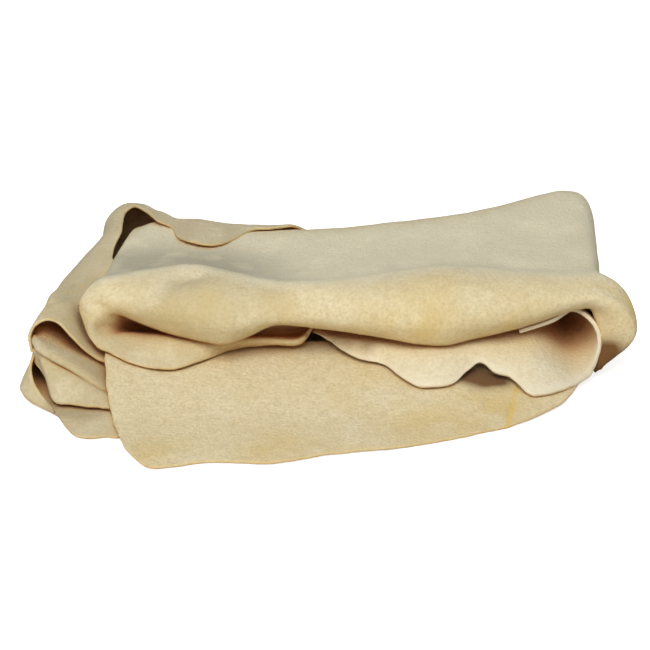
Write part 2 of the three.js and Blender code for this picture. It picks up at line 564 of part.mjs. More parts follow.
// The rear flap by its place across the top: y of its cut edge.
const FLAP_FRONT = through([
  [0.080, 61.5],
  [0.112, 61.5],
  [0.125, 53],
  [0.155, 44.4],
  [0.200, 38.5],
  [0.239, 44.4],
  [0.265, 53],
  [0.290, 60],
  [0.350, 63],
  [0.385, 68],
  [0.410, 80],
]);
const FLAP_SHARES = [0.085, 0.112, 0.125, 0.14, 0.165, 0.2, 0.23, 0.26, 0.29, 0.32, 0.35, 0.38, 0.41];
const FLAP_REACH = 24;        // how far the flap goes on behind the back edge
const FLAP_TURN = 62;         // the angle it turns down there
const FLAP_LIFT = 2.2;        // how far it stands off the top beside the arch
function flapRib(share) {
  const lift = LAYER + 0.1 + FLAP_LIFT * ease(share, 0.125, 0.07);
  const rib = topRib(share);
  const [back, middle] = [rib[BACK_ROW], rib[BACK_ROW + 1]];
  const half = (back.z - FLOOR) / 2;
  const edge = back.y + 4;
  return steps(FLAP_FRONT(share)[0], edge + FLAP_REACH, FLANK[0].length - 1).map((y) => {
    if (y <= edge) {
      const level = lerp(middle.z, back.z, clamp((y - middle.y) / (back.y - middle.y), 0, 1));
      return at(across(share), y, level + lift);
    }
    const turn = THREE.MathUtils.degToRad(90 - FLAP_TURN * (y - edge) / FLAP_REACH);
    const [out, up] = [(BACK_BULGE + lift) * Math.cos(turn), (half + lift) * Math.sin(turn)];
    return at(across(share), edge + out, FLOOR + half + up);
  });
}

// The flap lifts at a short crease behind the arch's crown; below it the flank goes on round the corner.
const CROWN = 9.3;
const CROWN_FLAP = 9.34;
const CORNER_FLANK = 9.85;
const CORNER_END = 10;
const CROWN_LAST = 3;
const CROWN_SLIT = 0.3;
function makeFlank() {
  const sections = FLANK.map((section, i) => section.map((point) => flankPoint(point, i)));
  const ribs = [...sections, ...FLAP_SHARES.map(flapRib)];
  const [last, lastPoint] = [ribs.length - 1, FLANK[0].length - 1];
  const us = [
    ...steps(0, FLANK.length - 1, 2 * (FLANK.length - 1)),
    CROWN,
    CROWN_FLAP,
    CORNER_FLANK,
    ...steps(CORNER_END, last, last - CORNER_END),
  ];
  const vs = [...steps(0, CROWN_LAST, 3), ...steps(CROWN_LAST + CROWN_SLIT, lastPoint, 5)];
  const onFlap = (i, j) => us[i] >= CORNER_END || (us[i] >= CROWN_FLAP && vs[j] < CROWN_LAST);
  const onFlank = (i, j) => us[i] < CROWN || (us[i] < CORNER_FLANK && vs[j] > CROWN_LAST);
  const surface = lofted(ribs);
  run('side_flank', surface, us, vs, onFlank);
  run('rear_flap', surface, us, vs, onFlap);
}

makeRolledSkin();
makeTongue();
makeApron();
makeBase();
makeCorner();
makePleat();
makeFlank();

// Origin at the middle of the pack's footprint, on the floor.
const box = new THREE.Box3().setFromObject(pack);
const middle = box.getCenter(new THREE.Vector3());
pack.position.set(-middle.x, -middle.y, -box.min.z);

export default pack;
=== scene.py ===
# The looks of a chamois leather: one soft skin, folded in on itself into a loose pack.
import math

import bpy
import numpy as np
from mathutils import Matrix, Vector, noise


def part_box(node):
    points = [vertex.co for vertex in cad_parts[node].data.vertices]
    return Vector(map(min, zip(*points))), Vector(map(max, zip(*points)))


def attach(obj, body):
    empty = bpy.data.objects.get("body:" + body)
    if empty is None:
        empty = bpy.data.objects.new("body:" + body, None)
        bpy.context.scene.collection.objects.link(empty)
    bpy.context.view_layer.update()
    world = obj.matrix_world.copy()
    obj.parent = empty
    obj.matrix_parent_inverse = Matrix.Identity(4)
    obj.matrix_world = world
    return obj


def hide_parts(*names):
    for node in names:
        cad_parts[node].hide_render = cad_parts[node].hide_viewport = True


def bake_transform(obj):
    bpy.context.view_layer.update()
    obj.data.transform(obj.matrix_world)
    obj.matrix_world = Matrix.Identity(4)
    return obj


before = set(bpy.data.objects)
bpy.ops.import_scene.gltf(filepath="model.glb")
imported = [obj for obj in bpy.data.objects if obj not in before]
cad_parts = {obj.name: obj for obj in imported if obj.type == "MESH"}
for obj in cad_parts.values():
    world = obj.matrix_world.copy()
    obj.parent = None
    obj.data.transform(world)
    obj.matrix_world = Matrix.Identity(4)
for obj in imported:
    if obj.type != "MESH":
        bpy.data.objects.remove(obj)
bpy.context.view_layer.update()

# Sizes of the pack in millimetres, as the solids have them. -Y is the front.
SKIN = 1.8               # thickness of the leather
GAP = 0.5                # clearance between the solids
TOP_WIDTH = 210          # top, between its two end folds
TOP_MIDDLE = 10
TOP_HEIGHT = 40
TOP_DEPTH = 71           # from the ridge of the roll to the back edge, at the left end
BACK_SKEW = 30.5         # extra depth of the back edge at the right end
BACK_RISE = 6            # and its extra height there
BACK_BULGE = 10          # rear fold beyond the back edge
BACK_INSET = 4           # where the top begins to turn down, ahead of the back edge
ROLL_EDGE_HEIGHT = 20    # lower edge of the roll
APRON_REACH = 96         # front of the apron ahead of the roll's ridge
APRON_FLAT = 34          # length of the apron that lies flat
APRON_RISE = 9           # how far it climbs under the roll
APRON_BACK = 4           # y of its hidden rear edge
PLEAT_CLIMB = 2.5        # extra climb of its left margin over the pleat
RIGHT_BULGE = 20         # right end fold beyond the top
LEFT_BULGE = 13          # left end fold beyond the top
CURL_RADIUS = 11.3       # curl at the tongue's right end
LOWER_LENGTH = 70        # lower panel, from the right end fold to the left

LEFT = TOP_MIDDLE - TOP_WIDTH / 2
RIGHT = TOP_MIDDLE + TOP_WIDTH / 2
FLOOR = SKIN / 2
LAYER = SKIN + GAP
UNDER = FLOOR + LAYER

# The drawn sheets: their thickness, how closely they lie on each other, and the fineness of their meshes
THICKNESS = 1.3
REST = THICKNESS + 0.2                       # from middle to middle of two sheets that touch
INNER = ROLL_EDGE_HEIGHT - REST - 0.3        # height of the tongue inside the roll
CELL = 1.4
RIM = np.array([0.0, 0.1, 0.3, 0.7, 1.3])    # rows of cells close to a cut edge
RIM_ROUND = 0.4
FINE = 16                                    # steps between two points in which a curve is measured
TINY = 1e-9
SHORTEST = 1e-6                              # shortest span that a curve counts
SEED_STEP = 17.3                             # how far apart the noise of two seeds is taken
METRE = 1000.0


def mix(a, b, part):
    return a + (b - a) * part


def ease(value, start, end):
    part = np.clip((value - start) / (end - start), 0.0, 1.0)
    return part * part * (3.0 - 2.0 * part)


def bell(away):
    return np.exp(-(away ** 2))


def across(share):
    return mix(LEFT, RIGHT, share)


def share_of(x):
    return (x - LEFT) / TOP_WIDTH


def hermite(start, end, leaving, arriving, t):
    """The smooth way from start to end with these slopes at its two ends, at t between 0 and 1."""
    bend = 3 * t * t - 2 * t ** 3
    return start * (1 - bend) + end * bend + leaving * (t - 2 * t * t + t ** 3) + arriving * (t ** 3 - t * t)


def through(rows):
    """A smooth function through rows of (place, value, value, ...), level beyond its ends."""
    table = np.array(rows, float)
    places, values = table[:, 0], table[:, 1:]
    rises = np.diff(values, axis=0) / np.diff(places)[:, None]
    slopes = np.concatenate([rises[:1], (rises[:-1] + rises[1:]) / 2, rises[-1:]])

    def value_at(place):
        place = float(np.clip(place, places[0], places[-1]))
        i = int(np.clip(np.searchsorted(places, place) - 1, 0, len(places) - 2))
        span = places[i + 1] - places[i]
        t = (place - places[i]) / span
        return hermite(values[i], values[i + 1], span * slopes[i], span * slopes[i + 1], t)

    return value_at


def along(points, places):
    """Points of the smooth curves through points[..., i, :], at places counted in i."""
    before = 2 * points[..., :1, :] - points[..., 1:2, :]
    after = 2 * points[..., -1:, :] - points[..., -2:-1, :]
    padded = np.concatenate([before, points, after], axis=-2)
    spans = np.maximum(np.linalg.norm(np.diff(padded, axis=-2), axis=-1), SHORTEST) ** 0.5
    left = np.clip(np.floor(places).astype(int), 0, points.shape[-2] - 2)
    t = (places - left)[:, None]
    p0, p1, p2, p3 = (padded[..., left + k, :] for k in range(4))
    d0, d1, d2 = (spans[..., left + k, None] for k in range(3))
    leaving = ((p1 - p0) / d0 - (p2 - p0) / (d0 + d1) + (p2 - p1) / d1) * d1
    arriving = ((p2 - p1) / d1 - (p3 - p1) / (d1 + d2) + (p3 - p2) / d2) * d1
    return hermite(p1, p2, leaving, arriving, t)


def spaced(length):
    """Places along a length, one cell apart, closer together at both ends."""
    cells = max(2, round((length - 2 * RIM[-1]) / CELL))
    even_places = np.linspace(RIM[-1], length - RIM[-1], cells + 1)
    return np.concatenate([RIM[:-1], even_places, length - RIM[-2::-1]])


def reach_of(lines):
    """The mean distance along a bundle of lines, at each of their points."""
    steps = np.linalg.norm(np.diff(lines, axis=1), axis=2).mean(axis=0)
    return np.concatenate([[0], np.cumsum(steps)])


def patch(ribs, u_to=None, v_from=None, v_to=None):
    """An even grid on the smooth surface through ribs: u counts the ribs, v the points along each of them.
    It covers the whole surface, or goes up to u_to and from v_from to v_to, which are functions of u.
    Returns the points and each one's u and v."""
    ribs = np.array(ribs, float)
    last_rib, last_point = ribs.shape[0] - 1, ribs.shape[1] - 1
    u_to = last_rib if u_to is None else u_to
    fine_v = np.linspace(0, last_point, FINE * last_point + 1)
    fine_u = np.linspace(0, u_to, FINE * u_to + 1)
    rails = along(ribs, fine_v).swapaxes(0, 1)
    reach = reach_of(along(rails, fine_u))
    us = np.interp(spaced(reach[-1]), reach, fine_u)
    columns = along(rails, us).swapaxes(0, 1)
    reach = reach_of(columns)
    first = np.interp([v_from(u) if v_from else 0 for u in us], fine_v, reach)
    last = np.interp([v_to(u) if v_to else last_point for u in us], fine_v, reach)
    mean = (last - first).mean()
    wanted = mix(first[:, None], last[:, None], spaced(mean) / mean)
    vs = np.interp(wanted, reach, fine_v)
    points = np.empty((*vs.shape, 3))
    for i, column in enumerate(columns):
        for axis in range(3):
            points[i, :, axis] = np.interp(vs[i], fine_v, column[:, axis])
    return points, np.repeat(us[:, None], vs.shape[1], axis=1), vs


def from_left(sections, lift=0):
    """The points of sections whose x counts from the top's left end."""
    return [[(LEFT + x, y, z + lift) for x, y, z in section] for section in sections]


# Apron: shares across the top of its hidden and its cut end, and how far it falls short of its reach
APRON = [
    [-0.005, 0.071, 12],
    [0.048, 0.124, 0],
    [0.167, 0.233, 5],
    [0.319, 0.357, 4],
    [0.462, 0.462, 11],
    [0.605, 0.595, 17],
    [0.767, 0.757, 30],
    [0.838, 0.824, 37],
    [0.919, 0.929, 55],
    [0.998, 0.985, 77],
]
APRON_POINTS = 7
APRON_BOW = (0.2, 0)         # shares between which the ribs bow more and more
APRON_FALL = through([[0.62, 1], [0.8, 0.75], [1, 0.3]])
OVER_BASE = (26, 13)         # where it climbs onto the base, right of the top's left end
OVER_PLEAT = (16, 0)         # where it climbs onto the pleat
PLEAT_FRONT = (-66, -36)     # and how far back, in y


def apron_height(x, y):
    climb = APRON_RISE * ease(y, APRON_FLAT - APRON_REACH, APRON_BACK) * APRON_FALL(share_of(x))[0]
    over_base = LAYER * ease(x - LEFT, *OVER_BASE)
    over_pleat = PLEAT_CLIMB * ease(y, *PLEAT_FRONT) * ease(x - LEFT, *OVER_PLEAT)
    return FLOOR + climb + over_base + over_pleat


def apron_patch():
    parts = np.linspace(0, 1, APRON_POINTS)
    ribs = []
    for hidden, cut, shortfall in APRON:
        front = shortfall - APRON_REACH
        bow = 1 + ease(hidden, *APRON_BOW)
        ribs.append([(across(mix(hidden, cut, p ** bow)), mix(APRON_BACK, front, p), 0) for p in parts])
    points, us, vs = patch(ribs)
    for point in points.reshape(-1, 3):
        point[2] = apron_height(point[0], point[1])
    return points, us, vs


# Rolled skin, by the share across the top.
# Roll: y and rise of its ridge, y and drop of its belly, y and rise of its lower edge
ROLL = through([
    [0.00, 6, -1, -4, 8, 2, 6],
    [0.03, 7, 0, -5, 8, 0.5, 5],
    [0.055, 7.5, 1, -6, 8, -1.5, 3.2],
    [0.09, 8, 2, -8.5, 8, -4.5, 1.6],
    [0.17, 9, 4, -16, 9, -12, 0],
    [0.25, 4, 3, -22, 10, -19, 0],
    [0.29, 0, 2.5, -21, 10, -15.5, 0.9],
    [0.33, -3, 2, -19, 9.5, -8, 4.2],
    [0.39, -5, 2, -17.5, 9.5, -6, 4],
    [0.44, -6, 2, -17, 9.5, -6, 2.6],
    [0.50, -3, 2, -18.5, 10, -10, 2.2],
    [0.58, 1, 3, -21, 10, -16, 1.4],
    [0.69, 5, 5, -23, 9, -20, 0],
    [0.77, 4.6, 4.2, -20, 8.6, -14.5, 0.9],
    [0.85, 4, 3, -16, 8, -8, 1.9],
    [0.92, 4, 2, -12, 7, -5.5, 6.3],
    [0.96, 4, 1.5, -10, 5, -4, 9.2],
    [1.00, 5, 1, -8, 4, -2, 9.8],
])
# Lip under the roll: y and z of its valley, y and z of its crest, y and lift of its cut edge
LIP = through([
    [0.00, 14, 14.5, -2, 18, -17, 1.1],
    [0.03, 20, 9.5, -2, 16.8, -20, 0.8],
    [0.06, 22, 8, -2.5, 16, -22.5, 0.4],
    [0.10, 20, 8.5, -4.5, 16.2, -23, 0.4],
    [0.17, 8, 11.5, -9.5, 16.4, -20, 0.4],
    [0.24, 1, 12.5, -9.6, 16.2, -7.6, 0.3],
    [0.28, 4, 13, -7.2, 16.2, -5, 0.7],
    [0.33, 6, 12.8, -6.5, 15.9, -5, 2],
    [0.41, 8, 13.6, -6, 16.3, -5, 2.6],
    [0.435, 8, 16, -4.5, 19, -4.5, 5],
    [0.45, 8, 18, -3, 20.5, -3.5, 8],
])
LIP_END = (0.425, 0.47)      # shares between which the lip goes over into a plain hidden margin
# Back edge: part of its skew
BACK = through([
    [0.00, 0],
    [0.10, 0],
    [0.22, -0.18],
    [0.41, -0.21],
    [0.51, -0.18],
    [0.62, 0.02],
    [0.736, 0.18],
    [0.84, 0.48],
    [0.96, 0.89],
    [1.00, 1],
])
BACK_CLIMB = (0.3, 1.05)     # shares between which the back edge rises
CORNER_RISE = 1.4            # its right corner's extra rise
CORNER_CLIMB = (0.85, 1)
FOLD_TURNS = np.radians([-90, -45, 0, 45])
DIP = 3                      # how far the top sinks behind the roll, at the left
DIP_END = (0.3, 0.6)
HUMP = 2.6                   # the top under the flap's root
HUMP_SHARE = 0.055
HUMP_WIDTH = 0.05
END_FALL = 0.8               # and its fall towards the left end
END_FALL_SHARE = 0.03
END_PLAIN = 0.55             # how plain the slit is drawn at the left end
END_PLAIN_SHARE = 0.04
INSET_SHARE = 0.15           # share within which the left end of the top lies further in
INSET = [12, 12, 11.5, 10.5, 7, 1.8, 1]
SHARES = np.concatenate([[0, 0.015, 0.03, 0.05, 0.075], np.linspace(0.1, 1, 19)])

# Rows of its ribs, counted from the foot of the rear fold
BACK_ROW = 4
DIP_ROW = 5
RIDGE_ROW = 7
BELLY_ROW = 9
EDGE_ROW = 11
END_ROW = 13                 # where the sheet ends at the right end fold
LAST_ROW = 18                # the lip's cut edge
LEFT_FROM = 3.4              # first row of the left end fold
LOWER_FROM = 4.7             # first and last row of the lower panel
LOWER_TO = 6

# Left end: its blunt nose, shares of the bulge by row, and heights to which the rows behind the ridge sink
NOSE_Y = 1
NOSE_Z = 28.5
NOSE_BULGES = [0.08, 0.1, 0.12, 0.14, 0.15, 0.16, 0.38, 0.92] + [1] * 11
NOSE_KEEPS = (0.06, 0.2, 0.38, 0.56, 0.72, 0.86, 0.96)
TIP_KEEP = 0.04
TIP_INSET = 4
WALL_FOOT = [28, 28, 32, 35, 35.8, 35.6, 33]

# Right end: shares of the bulge by row, and the lower panel's lean, rise and y
RIGHT_BULGES = [0.05, 0.05, 0.2, 0.65, 0.775, 0.575, 0.475, 1, 1, 0.875, 0.425] + [0.16] * 8
RIGHT_RIBS = 9
LOWER_RIBS = 4
LOWER_LEAN = [-2, -2, -2, -2, -2, -2, -1, 0, 1, 2, 2.5, 3] + [3] * 7
LOWER_RISE = [0, 0, 0, 0, 0, 0, 0.2, 0.5, 0.8, 1, 1.5, 2] + [2] * 7
LOWER_Y = [104, 102, 98, 92, 84, 45, 16, 5, -6, -14, -13, -7] + [-5] * 7
MARGIN_STEP = 5              # from row to row of the hidden margin behind the roll's edge


def top_rib(share):
    """From the foot of the rear fold over the top and down the roll,
    then in under the roll and out to its lip."""
    ridge_y, ridge_rise, belly_y, belly_drop, edge_y, edge_rise = ROLL(share)
    ridge_z = TOP_HEIGHT + ridge_rise
    belly_z = TOP_HEIGHT - belly_drop
    edge_z = ROLL_EDGE_HEIGHT + edge_rise
    back_y = TOP_DEPTH + BACK_SKEW * BACK(share)[0]
    back_z = TOP_HEIGHT + BACK_RISE * ease(share, *BACK_CLIMB) + CORNER_RISE * ease(share, *CORNER_CLIMB)
    half = (back_z - FLOOR) / 2
    dip_z = TOP_HEIGHT - DIP * (1 - ease(share, *DIP_END))
    hump = HUMP * bell((share - HUMP_SHARE) / HUMP_WIDTH) - END_FALL * (1 - ease(share, 0, END_FALL_SHARE))
    rows = [
        *[(back_y + BACK_BULGE * math.cos(t), FLOOR + half + half * math.sin(t)) for t in FOLD_TURNS],
        (back_y - BACK_INSET, back_z + hump),
        (mix(ridge_y, back_y, 0.5), mix(dip_z, back_z, 0.3)),
        (ridge_y + 10, mix(dip_z, ridge_z, 0.5)),
        (ridge_y, ridge_z),
        (mix(ridge_y, belly_y, 0.7), ridge_z - 3),
        (belly_y, belly_z),
        (mix(belly_y, edge_y, 0.3), mix(belly_z, edge_z, 0.6)),
        (edge_y, edge_z),
        *under_rows(share, edge_y, edge_z),
    ]
    rows = smoothed(rows, END_PLAIN * (1 - ease(share, 0, END_PLAIN_SHARE)))
    near_end = 1 - ease(share, 0, INSET_SHARE)
    insets = [near_end * inset for inset in INSET] + [0] * len(rows)
    return [(across(share) + inset, y, z) for inset, (y, z) in zip(insets, rows)]


def under_rows(share, edge_y, edge_z):
    """On from the roll's lower edge: in to the bottom of the valley, out to the crest of the lip,
    and down to its cut edge. To the right of the lip, a plain margin inside the roll."""
    valley_y, valley_z, crest_y, crest_z, cut_y, lift = LIP(share)
    cut_z = apron_height(across(share), cut_y) + REST + lift
    shown = [
        (edge_y + 2.6, edge_z + 1.2),
        (mix(edge_y, valley_y, 0.6), mix(edge_z, valley_z, 0.5) + 1.6),
        (valley_y, valley_z),
        (mix(valley_y, crest_y, 0.45), mix(valley_z, crest_z, 0.35)),
        (crest_y, crest_z),
        (mix(crest_y, cut_y, 0.5) - 1, mix(crest_z, cut_z, 0.5) + 0.8),
        (cut_y, cut_z),
    ]
    inside = [(edge_y + y, edge_z + z) for y, z in zip([5, 11, 14, 17, 20, 24, 28], [1.5] + [2] * 6)]
    hidden = ease(share, *LIP_END)
    return [(mix(a[0], b[0], hidden), mix(a[1], b[1], hidden)) for a, b in zip(shown, inside)]


def smoothed(rows, part):
    """Draws the valley under the roll out to a plain bulge from the belly to the lip's cut edge."""
    belly, cut = rows[BELLY_ROW], rows[LAST_ROW]
    drawn = []
    for row, (y, z) in enumerate(rows):
        if row > BELLY_ROW:
            t = (row - BELLY_ROW) / (LAST_ROW - BELLY_ROW)
            swell = math.sin(math.pi * t)
            y = mix(y, mix(belly[0], cut[0], t) - 1.5 * swell, part)
            z = mix(z, mix(belly[1], cut[1], t) - 0.5 * swell, part)
        drawn.append((y, z))
    return drawn


def nose_rib(first, keep):
    """The rounded left end of the roll and its lip, drawn together to a blunt nose."""
    out = LEFT_BULGE * math.sqrt(1 - keep * keep)
    plain = smoothed([(y, z) for _, y, z in first], ease(keep, 1, 0.9))
    rib = []
    for row, (y, z) in enumerate(plain):
        x = first[row][0] - NOSE_BULGES[row] * out
        if row >= RIDGE_ROW:
            drawn = keep ** mix(1.15, 1.9, ease(row, RIDGE_ROW, RIDGE_ROW + 6))
            rib.append((x, mix(NOSE_Y, y, drawn), mix(NOSE_Z, z, drawn)))
        else:
            rib.append((x, y, mix(min(z, WALL_FOOT[row]), z, keep)))
    return rib


def right_ribs(upper, lower):
    """Ribs round the right end fold, from each point of one rib out and down to the same of the other."""
    ribs = []
    for part in np.linspace(0, 1, RIGHT_RIBS + 2)[1:-1]:
        turn = math.pi * (0.5 - part)
        reach = math.cos(turn)
        rib = []
        for row, (bulge, start, end) in enumerate(zip(RIGHT_BULGES, upper, lower)):
            upper_reach = reach ** mix(0.5, 0.9, ease(row, RIDGE_ROW - 2, RIDGE_ROW + 1))
            out = upper_reach if part < 0.5 else 0.75 * reach ** 4.4 + 0.25 * reach ** 0.5
            middle = (start[2] + end[2]) / 2
            x = mix(start[0], end[0], part) + bulge * RIGHT_BULGE * out
            rib.append((x, mix(start[1], end[1], part), middle + (start[2] - middle) * math.sin(turn)))
        ribs.append(rib)
    return ribs


def lower_rib(x):
    return [(x + lean, y, UNDER + rise) for lean, y, rise in zip(LOWER_LEAN, LOWER_Y, LOWER_RISE)]


def rolled_patch():
    top = [top_rib(share) for share in SHARES]
    nose = [nose_rib(top[0], keep) for keep in NOSE_KEEPS]
    tip = nose_rib(top[0], TIP_KEEP)
    tip[RIDGE_ROW:] = [(x + TIP_INSET, y, z) for x, y, z in tip[RIDGE_ROW:]]
    lower = [lower_rib(RIGHT - length) for length in np.linspace(0, LOWER_LENGTH, LOWER_RIBS)]
    right = right_ribs(top[-1], lower[0])
    for rib in right + lower:
        x, y, z = rib[EDGE_ROW]
        for row in range(EDGE_ROW + 1, LAST_ROW + 1):
            rib[row] = (x, y + MARGIN_STEP * (row - EDGE_ROW), z)
    ribs = [tip] + nose + top + right + lower
    top_at = 1 + len(nose)
    right_at = top_at + len(SHARES) - 1
    lower_at = len(ribs) - len(lower)

    def first_row(u):
        return LOWER_FROM * ease(u, right_at + 4, lower_at) + LEFT_FROM * (1 - ease(u, 0, top_at))

    def last_row(u):
        share = np.interp(u - top_at, np.arange(len(SHARES)), SHARES)
        top_end = mix(LAST_ROW, END_ROW, ease(share, 0.86, 0.98))
        return mix(top_end, LOWER_TO, ease(u, lower_at - 1, lower_at + 1))

    return patch(ribs, lower_at + 2, first_row, last_row)


# Tongue under the roll, by the share across the top: y and lift of its cut edge
TONGUE = through([
    [0.43, 4, 3],
    [0.447, -3, 4.5],
    [0.465, -7, 4],
    [0.48, -10, 3],
    [0.525, -16, 1.4],
    [0.575, -19, 0.8],
    [0.604, -27, 0.8],
    [0.637, -33.5, 0.5],
    [0.679, -34, 0.5],
    [0.714, -31, 0.6],
    [0.746, -24, 2.5],
    [0.773, -21, 4.2],
    [0.80, -26, 2.6],
    [0.82, -26.5, 2.4],
    [0.842, -31, 1.4],
    [0.859, -37, 0.7],
    [0.872, -38.8, 0.3],
    [0.89, -38, 0.3],
    [0.914, -36, 0.3],
    [0.945, -31.5, 0.3],
    [0.97, -26.5, 0.3],
])
TONGUE_SHARE = 0.43          # its left end
TONGUE_RIBS = 41
TONGUE_LAST = 8              # its cut edge, counted in the points of a rib
TONGUE_INSIDE = (40, 32, 24, 16)    # y of its points inside the roll
TONGUE_SAG = 1.7             # how far its left half lies lower there
SAG_END = (0.58, 0.7)
ROOT_FALL = (0.87, 0.97)     # shares between which its root goes down onto the apron
MOUTH = 3                    # where it leaves the roll, behind the roll's edge
CURL_SHARE = 0.97
CURL_FRONT = through([[-90, -26.5], [-45, -15], [0, -9], [45, -5], [90, 0]])    # y by angle
CURL_ANGLES = (90, 60, 30, 0, -30, -60)
CURL_TAPER = 0.06            # share of its radius at the rear end
TUCK_SHARES = (0.855, 0.875, 0.90, 0.93)


def tongue_rib(share):
    x = across(share)
    cut_y, lift = TONGUE(share)
    cut_z = apron_height(x, cut_y) + REST + lift
    resting_z = apron_height(x, APRON_BACK) + LAYER + 0.3
    raised_z = INNER - TONGUE_SAG * (1 - ease(share, *SAG_END))
    root_z = max(resting_z, mix(raised_z, resting_z, ease(share, *ROOT_FALL)))
    mouth = max(ROLL(share)[4] + MOUTH, cut_y + MOUTH)
    return [
        *[(x, y, root_z) for y in TONGUE_INSIDE],
        (x, mix(TONGUE_INSIDE[-1], mouth, 0.6), root_z),
        (x, mouth, mix(root_z, cut_z, 0.08)),
        (x, mix(mouth, cut_y, 0.45), mix(root_z, cut_z, 0.34)),
        (x, mix(mouth, cut_y, 0.8), mix(root_z, cut_z, 0.74)),
        (x, cut_y, cut_z),
    ]


def curl_rib(degrees, foot):
    turn = math.radians(degrees)
    front = CURL_FRONT(degrees)[0]
    gone = ease(degrees, -90, -40)
    rib = []
    for (x, y, z), part in zip(foot, np.linspace(0, 1, len(foot))):
        radius = CURL_RADIUS * mix(CURL_TAPER, 1, ease(part, 0, 1))
        out, rise = radius * math.cos(turn), radius * (1 + math.sin(turn))
        rib.append((x + out, mix(y, front + y - foot[-1][1], gone), z + rise))
    return rib


def tuck_rib(share, foot):
    """The tucked end goes back to the left, close under the roll's lower edge."""
    edge_y, edge_rise = ROLL(share)[4:]
    z = ROLL_EDGE_HEIGHT + edge_rise - REST - 0.6
    return [(across(share), edge_y - 0.8 + 0.9 * (y - foot[-1][1]), z) for _, y, _ in foot]


def tongue_patch():
    """From the tucked end round the curl, then along the tongue to its left end."""
    foot = tongue_rib(CURL_SHARE)
    tuck = [tuck_rib(share, foot) for share in TUCK_SHARES]
    curl = [curl_rib(degrees, foot) for degrees in CURL_ANGLES]
    tongue = [tongue_rib(share) for share in np.linspace(CURL_SHARE, TONGUE_SHARE, TONGUE_RIBS)]
    return patch(tuck + curl + tongue)


# Base: lines from the rim of its curled corner to the right, each from the back to the front
BASE_LEFT = [
    [[-30, 16, 4], [-30.4, -8, 11], [-30, -22, 15.5],
     [-30.5, -30, 11.6], [-28, -36, 7.8], [-19.4, -46, 1.4]],
    [[-32, 17, 2.6], [-32.6, -8, 6.4], [-32.4, -22, 8.4],
     [-32.8, -31, 6], [-29.6, -38, 4], [-19, -47, 0.8]],
    [[-33, 18, 1.4], [-34.4, -8, 2.6], [-35, -22, 3],
     [-34.6, -32, 2.6], [-29.8, -39.5, 1.8], [-18.6, -48, 0.4]],
    [[-28, 20, 0.4], [-29, -8, 0.6], [-29.5, -22, 0.7],
     [-29, -32, 0.6], [-26, -40, 0.5], [-17.8, -49, 0]],
    [[-22, 24, 0], [-22, -6, 0], [-22, -20, 0], [-21.5, -32, 0], [-20, -41, 0], [-16, -52, 0]],
    [[-12, 45, 0], [-12, 10, 0], [-12, -14, 0], [-12, -33, 0], [-12, -48, 0], [-11.5, -62, 0]],
    [[-6, 60, 0], [-6, 20, 0], [-6, -12, 0], [-6, -35, 0], [-6, -54, 0], [-6, -69.5, 0]],
    [[0, 68, 0], [0, 25, 0], [0, -12, 0], [0, -36, 0], [0, -55, 0], [0, -70.5, 0]],
    [[6, 69, 0], [6, 25, 0], [6, -12, 0], [6, -36, 0], [6, -55, 0], [6, -69.5, 0]],
    [[12, 70, 0], [12, 25, 0], [12, -12, 0], [12, -36, 0], [12, -55, 0], [12, -70, 0]],
]
BASE_SHARES = (0.16, 0.4, 0.7, 0.93)    # its lines under the top
BASE_FRONT = -27                        # their front ends, and how far back those go at the right
BASE_CUT = 17
BASE_CUT_SHARES = (0.7, 0.95)


def base_back(share):
    """The base's rear edge, just ahead of the rear fold's foot."""
    return top_rib(share)[0][1] - 2 * GAP


def base_patch():
    ribs = from_left(BASE_LEFT, FLOOR)
    parts = np.linspace(0, 1, len(ribs[0]))
    for share in BASE_SHARES:
        front = BASE_FRONT + BASE_CUT * ease(share, *BASE_CUT_SHARES)
        ribs.append([(across(share), mix(base_back(share), front, part), FLOOR) for part in parts])
    return patch(ribs)


# Pleat under the left flank, from left to right: place, height and y of its ridge,
# place, height and y of its foot, and the height of its back
PLEAT = [
    [-30.4, 23, -20, -29.2, 13, -24, 23],
    [-29, 23.2, -24, -23, 9, -33, 23],
    [-27, 23.2, -28.5, -18.4, 3.5, -44, 22.5],
    [-21.5, 20.5, -31, -12, 3.5, -45.5, 18],
    [-13.4, 16.5, -33, -6, 3.4, -47, 9.8],
    [-5, 11.2, -35, 0, 3.3, -48, 7.6],
    [3, 5.4, -36, 5, 3.2, -48.5, 4.8],
]
PLEAT_BACK = (4, -8)         # y of its two rearmost points


def pleat_patch():
    sections = []
    for x, ridge, ridge_y, foot_x, foot, foot_y, back in PLEAT:
        sections.append([
            (x, PLEAT_BACK[0], back),
            (x, PLEAT_BACK[1], mix(back, ridge, 0.45)),
            (x, mix(PLEAT_BACK[1], ridge_y, 0.55), ridge - 1.2),
            (x, ridge_y + 3, ridge - 0.3),
            (x, ridge_y - 0.4, ridge - 1.4),
            (x + 0.8, ridge_y + 1.6, ridge - 4.2),
            (mix(x, foot_x, 0.35), mix(ridge_y, foot_y, 0.22), mix(ridge, foot, 0.42)),
            (mix(x, foot_x, 0.75), mix(ridge_y, foot_y, 0.66), mix(ridge, foot, 0.78)),
            (foot_x, foot_y, foot),
        ])
    return patch(from_left(sections))


